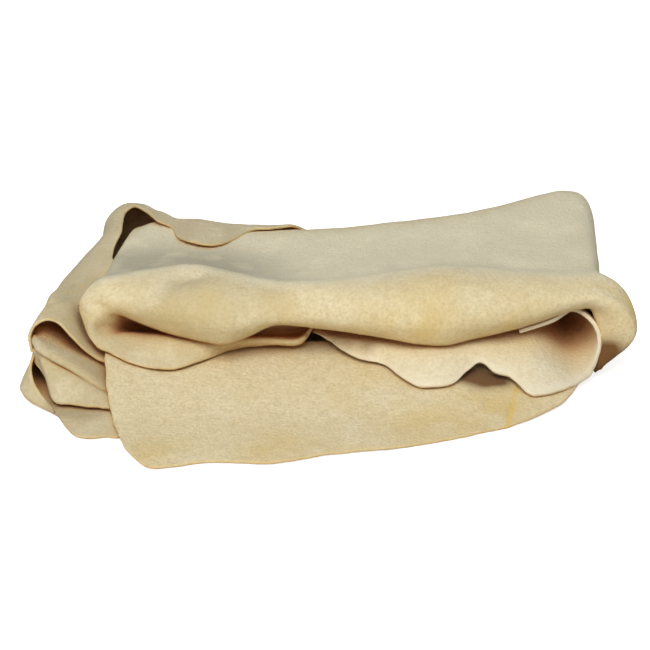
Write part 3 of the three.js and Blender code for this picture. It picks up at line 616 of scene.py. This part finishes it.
# Left flank: sections from the front round the arch to the flap's root, each from the rim outwards
FLANK = [
    [[5, -16.5, 9], [-1, -17.7, 10.5], [-8.7, -19, 16.6], [-14, -20, 23.7], [-19, -20, 30],
     [-24, -20, 31.5], [-29, -20.5, 28.8], [-31.4, -21, 24.4], [-30.4, -22.8, 17.2]],
    [[2, 5, 10.5], [-7, 5, 13], [-12, 5, 18.5], [-14.2, 5, 23.5], [-17, 5, 27.6],
     [-21.5, 5, 29.8], [-26.5, 5, 28.8], [-30.2, 5, 21.4], [-30.6, 5, 8]],
    [[-4, 15, 20], [-8, 15, 24], [-11, 15, 27], [-14, 15, 29.4], [-18, 15, 31],
     [-22.5, 15, 30.6], [-27, 15, 28], [-29.6, 15, 18], [-29.2, 15, 2.5]],
    [[3, 26, 33.2], [-1.5, 26.3, 34.2], [-6.5, 26.8, 34.2], [-13, 27.3, 33], [-19.5, 28, 30.6],
     [-25, 28, 26.4], [-28, 27.5, 19], [-28.6, 27, 10], [-28.6, 27, 1]],
    [[-1.6, 37, 37], [-4.2, 38, 37.8], [-8.5, 40, 37.4], [-13.5, 41, 35], [-18.2, 42, 31],
     [-22.6, 42, 25], [-24.4, 42, 17], [-24.8, 42, 9], [-24.8, 42, 1]],
    [[0.8, 53, 42.4], [-2.2, 54, 42.5], [-5.8, 55.5, 41], [-9, 56.5, 37.5], [-12.5, 57, 32.5],
     [-15, 57, 25], [-16, 57, 16.5], [-16.2, 57, 9], [-16.2, 57, 1]],
    [[1, 62, 44.2], [-1.8, 63, 44.2], [-5, 64.5, 42.2], [-7.5, 65.5, 38], [-9, 66, 32],
     [-10, 66, 24.5], [-10.4, 66, 16], [-10.5, 66, 9], [-10.5, 66, 1]],
    [[1.5, 69, 46.3], [-1.2, 71, 46.6], [-4.6, 73, 45], [-7.8, 74.5, 41], [-9.4, 75, 35],
     [-10, 75, 27], [-10, 75, 18], [-10, 75, 9], [-10, 75, 1]],
    [[5.5, 73.5, 48.2], [2.5, 77.5, 48], [-0.8, 81, 45.8], [-3.4, 83.5, 41.5], [-4.8, 84.7, 35],
     [-5.2, 85, 27], [-5.2, 85, 18], [-5.2, 84.5, 9], [-5.2, 84, 1]],
    [[11.5, 69, 47.4], [10.5, 75.5, 47.4], [8.5, 82, 45.8], [6, 86.5, 41.5], [4.5, 88.6, 35],
     [4, 89.2, 27], [4, 89, 19], [4, 88.5, 10], [4, 88, 2]],
]
FLANK_POINTS = 9
NOTCH = 4.4                  # depth of the notch behind the flap's root, in points of a section
NOTCH_FROM = (-1.6, -0.7)    # its two sides, in sections from the hinge
NOTCH_TO = (0.3, 1.7)

# Rear flap, by the share across the top: y of its cut edge
FLAP_FRONT = through([
    [0.080, 61.5],
    [0.112, 61.5],
    [0.125, 53],
    [0.155, 46],
    [0.200, 42],
    [0.239, 46.5],
    [0.265, 53],
    [0.290, 60],
    [0.350, 63],
    [0.385, 68],
    [0.410, 80],
])
FLAP_SHARES = (0.085, 0.112, 0.125, 0.14, 0.165, 0.2, 0.23, 0.26, 0.29, 0.32, 0.35, 0.38, 0.41)
FLAP_REACH = 24              # how far it goes on behind the back edge
FLAP_TURN = 62               # the angle in degrees that it turns down there
FLAP_REST = REST + 0.3       # how far it lies above the top
FLAP_LIFT = 2.6              # how much more it stands off beside the arch
FLAP_LIFT_END = (0.07, 0.125)
FLAP_CROWN = 1.2             # and in the middle of its front
CROWN_SHARE = 0.17
CROWN_WIDTH = 0.05


def flap_rib(share):
    """From the flap's cut edge on the top back over the rear fold."""
    crown = FLAP_CROWN * bell((share - CROWN_SHARE) / CROWN_WIDTH)
    lift = FLAP_REST + FLAP_LIFT * (1 - ease(share, *FLAP_LIFT_END)) + crown
    top = top_rib(share)
    back, dip = top[BACK_ROW], top[DIP_ROW]
    half = (back[2] - FLOOR) / 2
    edge = back[1] + BACK_INSET
    rib = []
    for y in np.linspace(FLAP_FRONT(share)[0], edge + FLAP_REACH, FLANK_POINTS):
        if y <= edge:
            level = mix(dip[2], back[2], np.clip((y - dip[1]) / (back[1] - dip[1]), 0, 1))
            rib.append((across(share), y, level + lift))
        else:
            turn = math.radians(90 - FLAP_TURN * (y - edge) / FLAP_REACH)
            out, up = (BACK_BULGE + lift) * math.cos(turn), (half + lift) * math.sin(turn)
            rib.append((across(share), edge + out, FLOOR + half + up))
    return rib


def flank_patch():
    ribs = from_left(FLANK) + [flap_rib(share) for share in FLAP_SHARES]
    hinge = len(FLANK) - 0.5

    def last_point(u):
        """The flap's hinge line runs out at the sheet's rear edge, which is notched there."""
        notched = ease(u - hinge, *NOTCH_FROM) * (1 - ease(u - hinge, *NOTCH_TO))
        return FLANK_POINTS - 1 - NOTCH * notched

    return patch(ribs, v_to=last_point)


# The flank's rear edge turned in behind the notch: sections to the right, each from the top down
INNER_TURN = [
    [[-1.6, 80.6, 43], [-3, 83, 36], [-3.6, 83.4, 27],
     [-3.6, 83.4, 18], [-3.6, 83, 9], [-3.6, 82.6, 2]],
    [[5.4, 83.4, 43], [4.8, 86.2, 36.5], [4.2, 87.4, 27],
     [4.2, 87.2, 18.5], [4.2, 86.8, 10], [4.2, 86.4, 2.5]],
    [[11.5, 78.5, 42.4], [12, 81.5, 37.5], [12, 84, 29],
     [12, 85, 20], [12, 84.6, 11], [12, 84.2, 3]],
    [[19, 74, 41.1], [19, 78.5, 36.8], [19, 81.6, 29.5],
     [19, 82.7, 20.5], [19, 82, 11.5], [19, 81, 4]],
]

# Sheets of leather on these patches. The base's right rear corner sets the drawing into the frame.
base_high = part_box("base_panel")[1]
SHIFT = np.array([base_high.x * METRE - RIGHT, base_high.y * METRE - base_back(1.0), 0.0])
LUMPS = [(38, 1), (13, 0.35), (5, 0.12)]    # unevenness of the leather: size and share
NICKS = [(7, 0.45), (2.5, 0.3)]             # and of its cut edges
NICK_SEED = 5
NICK_REACH = 2.5
EDGE_REACH = 1.6


def quads_of(rows, columns):
    number = np.arange(rows * columns).reshape(rows, columns)
    corners = number[:-1, :-1], number[1:, :-1], number[1:, 1:], number[:-1, 1:]
    return np.stack([corner.ravel() for corner in corners], axis=1)


def unit(vectors):
    return vectors / np.maximum(np.linalg.norm(vectors, axis=2, keepdims=True), TINY)


def normals_of(grid):
    return unit(np.cross(np.gradient(grid, axis=0), np.gradient(grid, axis=1)))


def from_borders(grid, axis):
    """How far each point of a grid lies from its first and from its last border, along one axis."""
    steps = np.linalg.norm(np.diff(grid, axis=axis), axis=2)
    start = np.zeros_like(np.take(steps, [0], axis=axis))
    reach = np.concatenate([start, np.cumsum(steps, axis=axis)], axis=axis)
    return reach, np.take(reach, [-1], axis=axis) - reach


def noise_at(points, size, seed):
    """Smooth noise between -1 and 1 on points in millimetres, with lumps of that size."""
    flat = points.reshape(-1, 3) / size + seed * SEED_STEP
    return np.array([noise.noise(p) for p in flat.tolist()]).reshape(points.shape[:-1])


def noise_of(points, sizes, seed):
    """Noise of several sizes, each with its own share and seed."""
    return sum(share * noise_at(points, size, seed + i) for i, (size, share) in enumerate(sizes))


def ragged(grid, seed):
    """Moves the cut edges of a grid in and out a little, as shears and wear leave them."""
    drawn = grid.copy()
    uneven = noise_of(grid, NICKS, seed + NICK_SEED)
    for axis in (0, 1):
        way = unit(np.gradient(grid, axis=axis))
        for reach, side in zip(from_borders(grid, axis), (1, -1)):
            drawn += way * (side * uneven * bell(reach / NICK_REACH))[..., None]
    return drawn


def creased(grid, marks):
    """Presses soft creases into a grid along lines (start, end, depth, half width) of the drawing."""
    depths = np.zeros(grid.shape[:2])
    for start, end, depth, width in marks:
        start, way = np.array(start), np.array(end) - np.array(start)
        part = np.clip((grid - start) @ way / (way @ way), 0, 1)
        away = np.linalg.norm(grid - start - part[..., None] * way, axis=2)
        fade = 0.35 + 0.65 * np.sin(np.pi * np.clip(part, 0.1, 0.9))
        depths += depth * bell(away / width) * fade
    return grid + normals_of(grid) * depths[..., None]


def add_attribute(mesh, label, kind, field, values):
    attribute = mesh.attributes.new(label, kind, "POINT")
    attribute.data.foreach_set(field, values.astype(np.float32).ravel())


def leather_piece(name, surface, material, wave, seed, thick=THICKNESS, marks=(), inner_painted_shade=None, **tints):
    """A closed sheet of leather on a patch's middle surface, softly uneven, with rounded cut edges.
    Tints are functions of a patch's u, v and points, and the tint for the inner layer alone is a dark painted
    shading."""
    middle, us, vs = surface
    middle = creased(ragged(middle, seed), marks)
    inside = np.minimum.reduce([*from_borders(middle, 0), *from_borders(middle, 1)])
    middle = middle + normals_of(middle) * (wave * noise_of(middle, LUMPS, seed))[..., None]
    close = np.clip(inside / RIM_ROUND, 0, 1)
    half = normals_of(middle) * (thick / 2 * np.sqrt(1 - (1 - close) ** 2))[..., None]
    upper, lower = (middle + half).reshape(-1, 3), (middle - half).reshape(-1, 3)

    # Both layers share the points of the border.
    free = (inside > 0).ravel()
    numbers = np.arange(free.size)
    lower_numbers = np.where(free, free.size + np.cumsum(free) - 1, numbers)
    points = (np.concatenate([upper, lower[free]]) + SHIFT) / METRE
    points[:, 2] = np.maximum(points[:, 2], 0.0)
    upper_faces = quads_of(*inside.shape)
    faces = np.concatenate([upper_faces, lower_numbers[upper_faces][:, ::-1]])
    mesh = bpy.data.meshes.new(name)
    mesh.from_pydata(points.tolist(), [], faces.tolist())
    mesh.shade_smooth()

    both = np.concatenate([numbers, np.flatnonzero(free)])
    facts = {"edge": bell(inside / EDGE_REACH).ravel()[both]}
    for label, tint in tints.items():
        facts[label] = tint(us, vs, middle).ravel()[both]
    # The inner layer alone gets painted shade.
    if inner_painted_shade is not None:
        facts["deep"] = np.concatenate([np.zeros(free.size), inner_painted_shade(us, vs, middle).ravel()[free]])
    for label, values in facts.items():
        add_attribute(mesh, label, "FLOAT", "value", values)
    add_attribute(mesh, "place", "FLOAT_VECTOR", "vector", points)
    piece = bpy.data.objects.new(name, mesh)
    bpy.context.scene.collection.objects.link(piece)
    mesh.materials.append(material)
    return piece


# Material: colours of the leather and of what tints it
CREAM = (0.80, 0.68, 0.42)
APRON_CREAM = (0.84, 0.72, 0.46)
STAIN = (0.76, 0.57, 0.23)
GREY = (0.75, 0.71, 0.54)
# Painted shade: greys the dip behind the roll, the lip, dents, the roll's left front, the flank's back, the
# base and the pleat
PAINTED_SHADE = (0.38, 0.36, 0.27)
# The tongue's own paler tone, and a painted light inside its curl near the front edge
PALE_AND_PAINTED_LIGHT = (0.90, 0.82, 0.63)
LIGHT_NAP = (0.88, 0.80, 0.58)
DARK_NAP = (0.62, 0.48, 0.24)
FINE_NAP = (0.55, 0.42, 0.20)
CUT_EDGE = (0.70, 0.50, 0.20)
OCHRE = (0.80, 0.54, 0.10)
# Painted shade in hollows and under other leather, by how near other leather is: golden where shallow,
# red-brown where deep
PAINTED_HOLLOW_SHADE = (0.74, 0.50, 0.17)
PAINTED_DEEP_HOLLOW_SHADE = (0.56, 0.18, 0.02)
# Painted deep shade: dark brown put where the leather lies in shade or under a cast shadow
PAINTED_DEEP_SHADE = (0.14, 0.05, 0.006)
SHEEN = (1.0, 0.95, 0.85)
PAINTED_SHADE_REACH = 0.03          # how far off the leather sees what shades it, in metres
APRON_PAINTED_SHADE_REACH = 0.012
NAP_DEPTH = 0.0013


class LeatherNodes:
    """Makes and joins the nodes of a leather material."""

    def __init__(self, tree):
        self.nodes = tree.nodes
        self.links = tree.links
        self.place = self.attribute("place", "Vector")

    def attribute(self, label, output="Fac"):
        node = self.nodes.new("ShaderNodeAttribute")
        node.attribute_name = label
        return node.outputs[output]

    def grain(self, scale, detail, roughness=0.55):
        node = self.nodes.new("ShaderNodeTexNoise")
        node.inputs["Scale"].default_value = scale
        node.inputs["Detail"].default_value = detail
        node.inputs["Roughness"].default_value = roughness
        self.links.new(self.place, node.inputs["Vector"])
        return node.outputs["Fac"]

    def spread(self, value, low, high, to_low, to_high):
        node = self.nodes.new("ShaderNodeMapRange")
        node.inputs["From Min"].default_value = low
        node.inputs["From Max"].default_value = high
        node.inputs["To Min"].default_value = to_low
        node.inputs["To Max"].default_value = to_high
        self.links.new(value, node.inputs["Value"])
        return node.outputs["Result"]

    def by(self, label, most):
        return self.spread(self.attribute(label), 0, 1, 0, most)

    def product(self, a, b):
        node = self.nodes.new("ShaderNodeMath")
        node.operation = "MULTIPLY"
        self.links.new(a, node.inputs[0])
        self.links.new(b, node.inputs[1])
        return node.outputs[0]

    def open_sky(self, reach):
        """1 on open leather, less where other leather is near."""
        node = self.nodes.new("ShaderNodeAmbientOcclusion")
        node.inputs["Distance"].default_value = reach
        node.samples = 8
        return node.outputs["AO"]

    def tinted(self, under, over, factor):
        node = self.nodes.new("ShaderNodeMix")
        node.data_type = "RGBA"
        sockets = [s for s in node.inputs if s.type == "RGBA"]
        for socket, value in zip(sockets, (under, over)):
            if isinstance(value, tuple):
                socket.default_value = (*value, 1.0)
            else:
                self.links.new(value, socket)
        self.links.new(factor, [s for s in node.inputs if s.name == "Factor" and s.type == "VALUE"][0])
        return [s for s in node.outputs if s.type == "RGBA"][0]

    def nap(self, scale, detail, roughness):
        node = self.nodes.new("ShaderNodeBump")
        node.inputs["Strength"].default_value = 1.0
        node.inputs["Distance"].default_value = NAP_DEPTH
        self.links.new(self.grain(scale, detail, roughness), node.inputs["Height"])
        return node.outputs["Normal"]


def suede(name, cream, painted_shade_reach):
    material = bpy.data.materials.new(name)
    material.use_nodes = True
    make = LeatherNodes(material.node_tree)
    sky = make.open_sky(painted_shade_reach)
    rough = make.spread(make.attribute("grey"), 0, 1, 1.0, 0.35)
    dark_nap = make.product(rough, make.spread(make.grain(240, 4, 0.65), 0.42, 0.72, 0.0, 0.4))
    fine_nap = make.product(rough, make.spread(make.grain(700, 3, 0.6), 0.38, 0.72, 0.0, 0.5))
    tints = [
        (STAIN, make.spread(make.grain(19, 3), 0.5, 0.7, 0.0, 0.5)),
        (STAIN, make.by("stain", 0.7)),
        (GREY, make.by("grey", 0.85)),
        # painted shade
        (PAINTED_SHADE, make.by("shade", 0.75)),
        (PALE_AND_PAINTED_LIGHT, make.by("pale", 0.8)),
        (LIGHT_NAP, make.spread(make.grain(55, 4), 0.48, 0.68, 0.0, 0.5)),
        (DARK_NAP, dark_nap),
        (FINE_NAP, fine_nap),
        (CUT_EDGE, make.spread(make.attribute("edge"), 0.3, 1, 0, 0.35)),
        (OCHRE, make.by("ochre", 0.6)),
        # painted shade from how near other leather is
        (PAINTED_HOLLOW_SHADE, make.spread(sky, 0.3, 0.9, 0.6, 0.0)),
        (PAINTED_DEEP_HOLLOW_SHADE, make.spread(sky, 0.05, 0.4, 0.9, 0.0)),
        # painted light near the tongue's front edge
        (PALE_AND_PAINTED_LIGHT, make.by("rim", 0.6)),
        # painted deep shade
        (PAINTED_DEEP_SHADE, make.by("deep", 0.95)),
    ]
    colour = cream
    for tint, factor in tints:
        colour = make.tinted(colour, tint, factor)
    shader = make.nodes["Principled BSDF"]
    shader.inputs["Roughness"].default_value = 0.95
    shader.inputs["Specular IOR Level"].default_value = 0.12
    shader.inputs["Sheen Weight"].default_value = 0.12
    shader.inputs["Sheen Roughness"].default_value = 0.5
    shader.inputs["Sheen Tint"].default_value = (*SHEEN, 1.0)
    make.links.new(colour, shader.inputs["Base Color"])
    make.links.new(make.nap(600, 4, 0.75), shader.inputs["Normal"])
    return material


leather = suede("suede", CREAM, PAINTED_SHADE_REACH)
# The apron's suede is a little lighter, and its painted hollow shade reaches less far.
apron_leather = suede("apron suede", APRON_CREAM, APRON_PAINTED_SHADE_REACH)

# Creases of the single sheets: start, end, depth, half width
OCHRE_CREASE = ((82, -30, 3), (75, -63, 1))
ROLL_MARKS = [
    ((-102, -4, 33), (-94.5, -4, 29.3), 1.6, 1.6),
    ((-71, -4, 39.5), (-50, 2, 43.5), 3, 5.5),
    ((-31, -3, 41), (0, -17, 34), 1.6, 5),
    ((101, 37, 44), (119, 43, 44), 0.7, 1.6),
    ((121, 2, 40), (123, -8, 24), 1.8, 3.5),
]
APRON_MARKS = [(*OCHRE_CREASE, 0.9, 1.3), ((20, -85, 1), (10, -45, 1), -0.5, 5)]
FLANK_MARKS = [((-106, 66, 35), (-97, 61, 38), -1.8, 1.6), ((-121, 2, 30.5), (-100, 24, 32), -2.2, 3.2)]

# Places of their tints: x, y, z, radius
# painted shade in dents on the left part of the roll
ROLL_PAINTED_DENT_SHADE = [(-67, -3, 41, 8), (-57, -5, 39, 8)]
# painted shade where the right end fold turns under
ROLL_PAINTED_SHADE = [(125, -12, 9, 8), (122, -13, 6, 8), (119, -14, 3, 8), (121, -13, 14, 4)]
ROLL_STAINS = [
    (-66, -12, 32, 11), (-51, -12, 34, 10), (-25, -18, 28, 13), (40, -21, 28, 13), (82, -15, 25, 11),
]
ROLL_OCHRE = [(133, -1, 29, 5), (134, -1, 24, 5)]
# painted shade on the tongue's left end, under the roll's lower edge
TONGUE_PAINTED_SHADE = [(3, -9, 17, 4), (10, -11, 16.5, 4), (18, -13, 16.5, 4)]
# painted shadow on the apron under the tongue's lifted notch
APRON_PAINTED_SHADOW = [(61, -24, 6, 4.5), (66, -21, 6.3, 6), (72, -24, 6, 5), (67, -28, 5.6, 5), (76, -27, 5.5, 4)]
APRON_STAINS = [(70, -46, 2, 12), (-20, -80, 1, 15), (45, -62, 1, 17), (-70, -84, 1, 10)]
# painted shade on the base's left corner, under the pleat
BASE_PAINTED_SHADE = [(-107, -46, 1, 8), (-112, -42, 2, 7), (-100, -48, 1, 8)]
# painted shade along the dents above the flank's crease
FLANK_PAINTED_CREASE_SHADE = [(-104, 20, 31, 6), (-110, 14, 31, 6), (-116, 9, 30.5, 5)]
# painted shade on the flank's inner layer, seen through the arch
FLANK_INNER_PAINTED_SHADE = [(-98, 80, 36, 13), (-90, 85, 36, 13), (-105, 70, 32, 10)]
OCHRE_SPOTS = 30
OCHRE_RADIUS = 1.1
SPOT_NOISE = 9               # size of the lumps that make spots uneven
SPOT_SEED = 31


def even(amount):
    return lambda us, vs, points: np.full(us.shape, amount)


def spots(places, strength=1):
    """Soft uneven spots at places of the drawing."""
    def amount(us, vs, points):
        total = np.zeros(us.shape)
        for *centre, radius in places:
            total += bell(np.linalg.norm(points - np.array(centre), axis=2) / radius)
        return strength * np.clip(total * (1 + 0.5 * noise_at(points, SPOT_NOISE, SPOT_SEED)), 0, 1)
    return amount


def crease_spots():
    """Places along the ochre crease, on the apron."""
    (x0, y0, _), (x1, y1, _) = OCHRE_CREASE
    line = [(mix(x0, x1, part), mix(y0, y1, part)) for part in np.linspace(0, 1, OCHRE_SPOTS)]
    return [(x, y, apron_height(x, y), OCHRE_RADIUS) for x, y in line]


def top_grey(us, vs, points):
    """The top, from the rear fold to the roll."""
    return ease(vs, BACK_ROW - 0.5, BACK_ROW + 0.5) * (1 - ease(vs, RIDGE_ROW - 0.4, RIDGE_ROW + 0.8))


def top_shade(us, vs, points):
    """Painted shading on the dip behind the roll, on the lip,
    and on the dents and the left part of the roll's front."""
    share = share_of(points[..., 0])
    behind = ease(vs, BACK_ROW + 0.1, DIP_ROW + 0.4) * (1 - ease(vs, RIDGE_ROW - 0.5, RIDGE_ROW + 0.2))
    dip = behind * (1 - ease(share, 0.22, 0.48))
    lip = ease(vs, EDGE_ROW + 1, EDGE_ROW + 3) * (1 - ease(share, 0.2, 0.4))
    dents = spots(ROLL_PAINTED_DENT_SHADE)(us, vs, points)
    front = ease(vs, RIDGE_ROW, RIDGE_ROW + 1) * (1 - ease(vs, EDGE_ROW - 0.5, EDGE_ROW + 0.5))
    left = ease(share, 0.02, 0.12) * (1 - ease(share, 0.3, 0.44))
    return dip + 0.45 * lip + 0.35 * dents + 0.36 * front * left


def flank_shade(us, vs, points):
    """Painted shading: darker towards the back, and in the dents of the crest."""
    return 0.2 + 0.5 * ease(points[..., 1], 5, 38) + spots(FLANK_PAINTED_CREASE_SHADE, 0.8)(us, vs, points)


def painted_light_near_front(us, vs, points):
    """Painted light on the last few millimetres before the tongue's cut front edge."""
    return ease(vs, TONGUE_LAST - 1.6, TONGUE_LAST)


# Pieces
roll = leather_piece("rolled_skin", rolled_patch(), leather, wave=0.9, seed=1, marks=ROLL_MARKS,
                     grey=top_grey, shade=top_shade, stain=spots(ROLL_STAINS),
                     deep=spots(ROLL_PAINTED_SHADE), ochre=spots(ROLL_OCHRE))
tongue = leather_piece("tongue", tongue_patch(), leather, wave=0.4, seed=2, thick=SKIN,
                       grey=even(0.4), pale=even(0.7), rim=painted_light_near_front, deep=spots(TONGUE_PAINTED_SHADE, 0.5))
apron = leather_piece("apron", apron_patch(), apron_leather, wave=0.45, seed=3, marks=APRON_MARKS,
                      stain=spots(APRON_STAINS), ochre=spots(crease_spots()), deep=spots(APRON_PAINTED_SHADOW))
# The base and the pleat are darkened all over with painted shade, as they lie recessed.
base = leather_piece("base", base_patch(), leather, wave=0.0, seed=4,
                     shade=even(0.35), deep=spots(BASE_PAINTED_SHADE, 0.3))
pleat = leather_piece("pleat", pleat_patch(), leather, wave=0.35, seed=5, shade=even(0.4), deep=even(0.1))
flank = leather_piece("flank_and_flap", flank_patch(), leather, wave=0.6, seed=6, marks=FLANK_MARKS,
                      shade=flank_shade, inner_painted_shade=spots(FLANK_INNER_PAINTED_SHADE, 0.8))
inner_turn = leather_piece("flank_inner_turn", patch(from_left(INNER_TURN)), leather, wave=0.2, seed=7,
                           shade=flank_shade, inner_painted_shade=spots(FLANK_INNER_PAINTED_SHADE, 0.8))


def placed(x, y, z):
    """A point of the drawing in the frame's metres."""
    return tuple((np.array([x, y, z]) + SHIFT) / METRE)


# Bodies, and the nodes that the pieces stand for
for piece in (roll, tongue, base, pleat, inner_turn):
    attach(piece, "folded_skin")
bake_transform(apron)
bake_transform(flank)

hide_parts("left_fold", "rear_fold", "top_panel", "front_roll", "under_roll_panel",
            "right_fold", "lower_panel")
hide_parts("tucked_end", "tongue_curl", "tongue_flap")
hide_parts("apron_root", "front_apron")
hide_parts("base_panel", "base_corner")
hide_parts("lower_pleat")
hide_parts("side_flank", "rear_flap")
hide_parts("side_flank")

# Stage: floor, lights, world and camera, in metres
FLOOR_HALF = 6.0
FLOOR_DROP = 0.0002          # just under the leather
FLOOR_GREY = 0.72
FLOOR_GLOW = 0.76            # for the camera alone, so that the floor looks white
WORLD_LIGHT = 0.3
LIGHTS = [                   # name, place, size, power
    ("key", (-0.12, -0.74, 0.98), 0.7, 11.6),
    ("fill", (-0.7, -0.6, 0.5), 0.8, 1.2),
    ("front", (0.25, -1.2, 0.4), 1.0, 2.2),
]
LIGHT_TARGET = Vector((0, 0, 0.02))
LENS = 100
SENSOR = 36
CAMERA_ELEVATION = math.radians(24)
CAMERA_DISTANCE = 0.794
CAMERA_TARGET = (0, 0, 20)   # in millimetres of the drawing


def make_floor():
    mesh = bpy.data.meshes.new("floor")
    corners = [(FLOOR_HALF * x, FLOOR_HALF * y, 0) for x, y in ((-1, -1), (1, -1), (1, 1), (-1, 1))]
    mesh.from_pydata(corners, [], [(0, 1, 2, 3)])
    floor = bpy.data.objects.new("floor", mesh)
    floor.location.z = -FLOOR_DROP
    bpy.context.scene.collection.objects.link(floor)
    material = bpy.data.materials.new("floor")
    material.use_nodes = True
    nodes, links = material.node_tree.nodes, material.node_tree.links
    shader = nodes["Principled BSDF"]
    shader.inputs["Base Color"].default_value = (FLOOR_GREY, FLOOR_GREY, FLOOR_GREY, 1)
    shader.inputs["Roughness"].default_value = 1
    shader.inputs["Specular IOR Level"].default_value = 0
    shader.inputs["Emission Color"].default_value = (1, 1, 1, 1)
    path = nodes.new("ShaderNodeLightPath")
    scale = nodes.new("ShaderNodeMath")
    scale.operation = "MULTIPLY"
    scale.inputs[1].default_value = FLOOR_GLOW
    links.new(path.outputs["Is Camera Ray"], scale.inputs[0])
    links.new(scale.outputs[0], shader.inputs["Emission Strength"])
    mesh.materials.append(material)


def make_light(name, place, size, power):
    lamp = bpy.data.lights.new(name, "AREA")
    lamp.size = size
    lamp.energy = power
    light = bpy.data.objects.new(name, lamp)
    light.location = place
    light.rotation_euler = (LIGHT_TARGET - Vector(place)).to_track_quat("-Z", "Y").to_euler()
    bpy.context.scene.collection.objects.link(light)


def make_world():
    """A dim white world that looks plain white to the camera."""
    world = bpy.data.worlds.new("studio")
    world.use_nodes = True
    nodes, links = world.node_tree.nodes, world.node_tree.links
    background = nodes["Background"]
    background.inputs["Color"].default_value = (1, 1, 1, 1)
    path = nodes.new("ShaderNodeLightPath")
    scale = nodes.new("ShaderNodeMapRange")
    scale.inputs["To Min"].default_value = WORLD_LIGHT
    scale.inputs["To Max"].default_value = 1.0
    links.new(path.outputs["Is Camera Ray"], scale.inputs["Value"])
    links.new(scale.outputs["Result"], background.inputs["Strength"])
    bpy.context.scene.world = world


def make_camera():
    camera = bpy.data.objects.new("camera", bpy.data.cameras.new("camera"))
    camera.data.lens = LENS
    camera.data.sensor_width = SENSOR
    back = Vector((0, -math.cos(CAMERA_ELEVATION), math.sin(CAMERA_ELEVATION)))
    camera.location = Vector(placed(*CAMERA_TARGET)) + back * CAMERA_DISTANCE
    camera.rotation_euler = (-back).to_track_quat("-Z", "Y").to_euler()
    bpy.context.scene.collection.objects.link(camera)
    bpy.context.scene.camera = camera


make_floor()
for light in LIGHTS:
    make_light(*light)
make_world()
make_camera()
bpy.context.scene.view_settings.view_transform = "Standard"
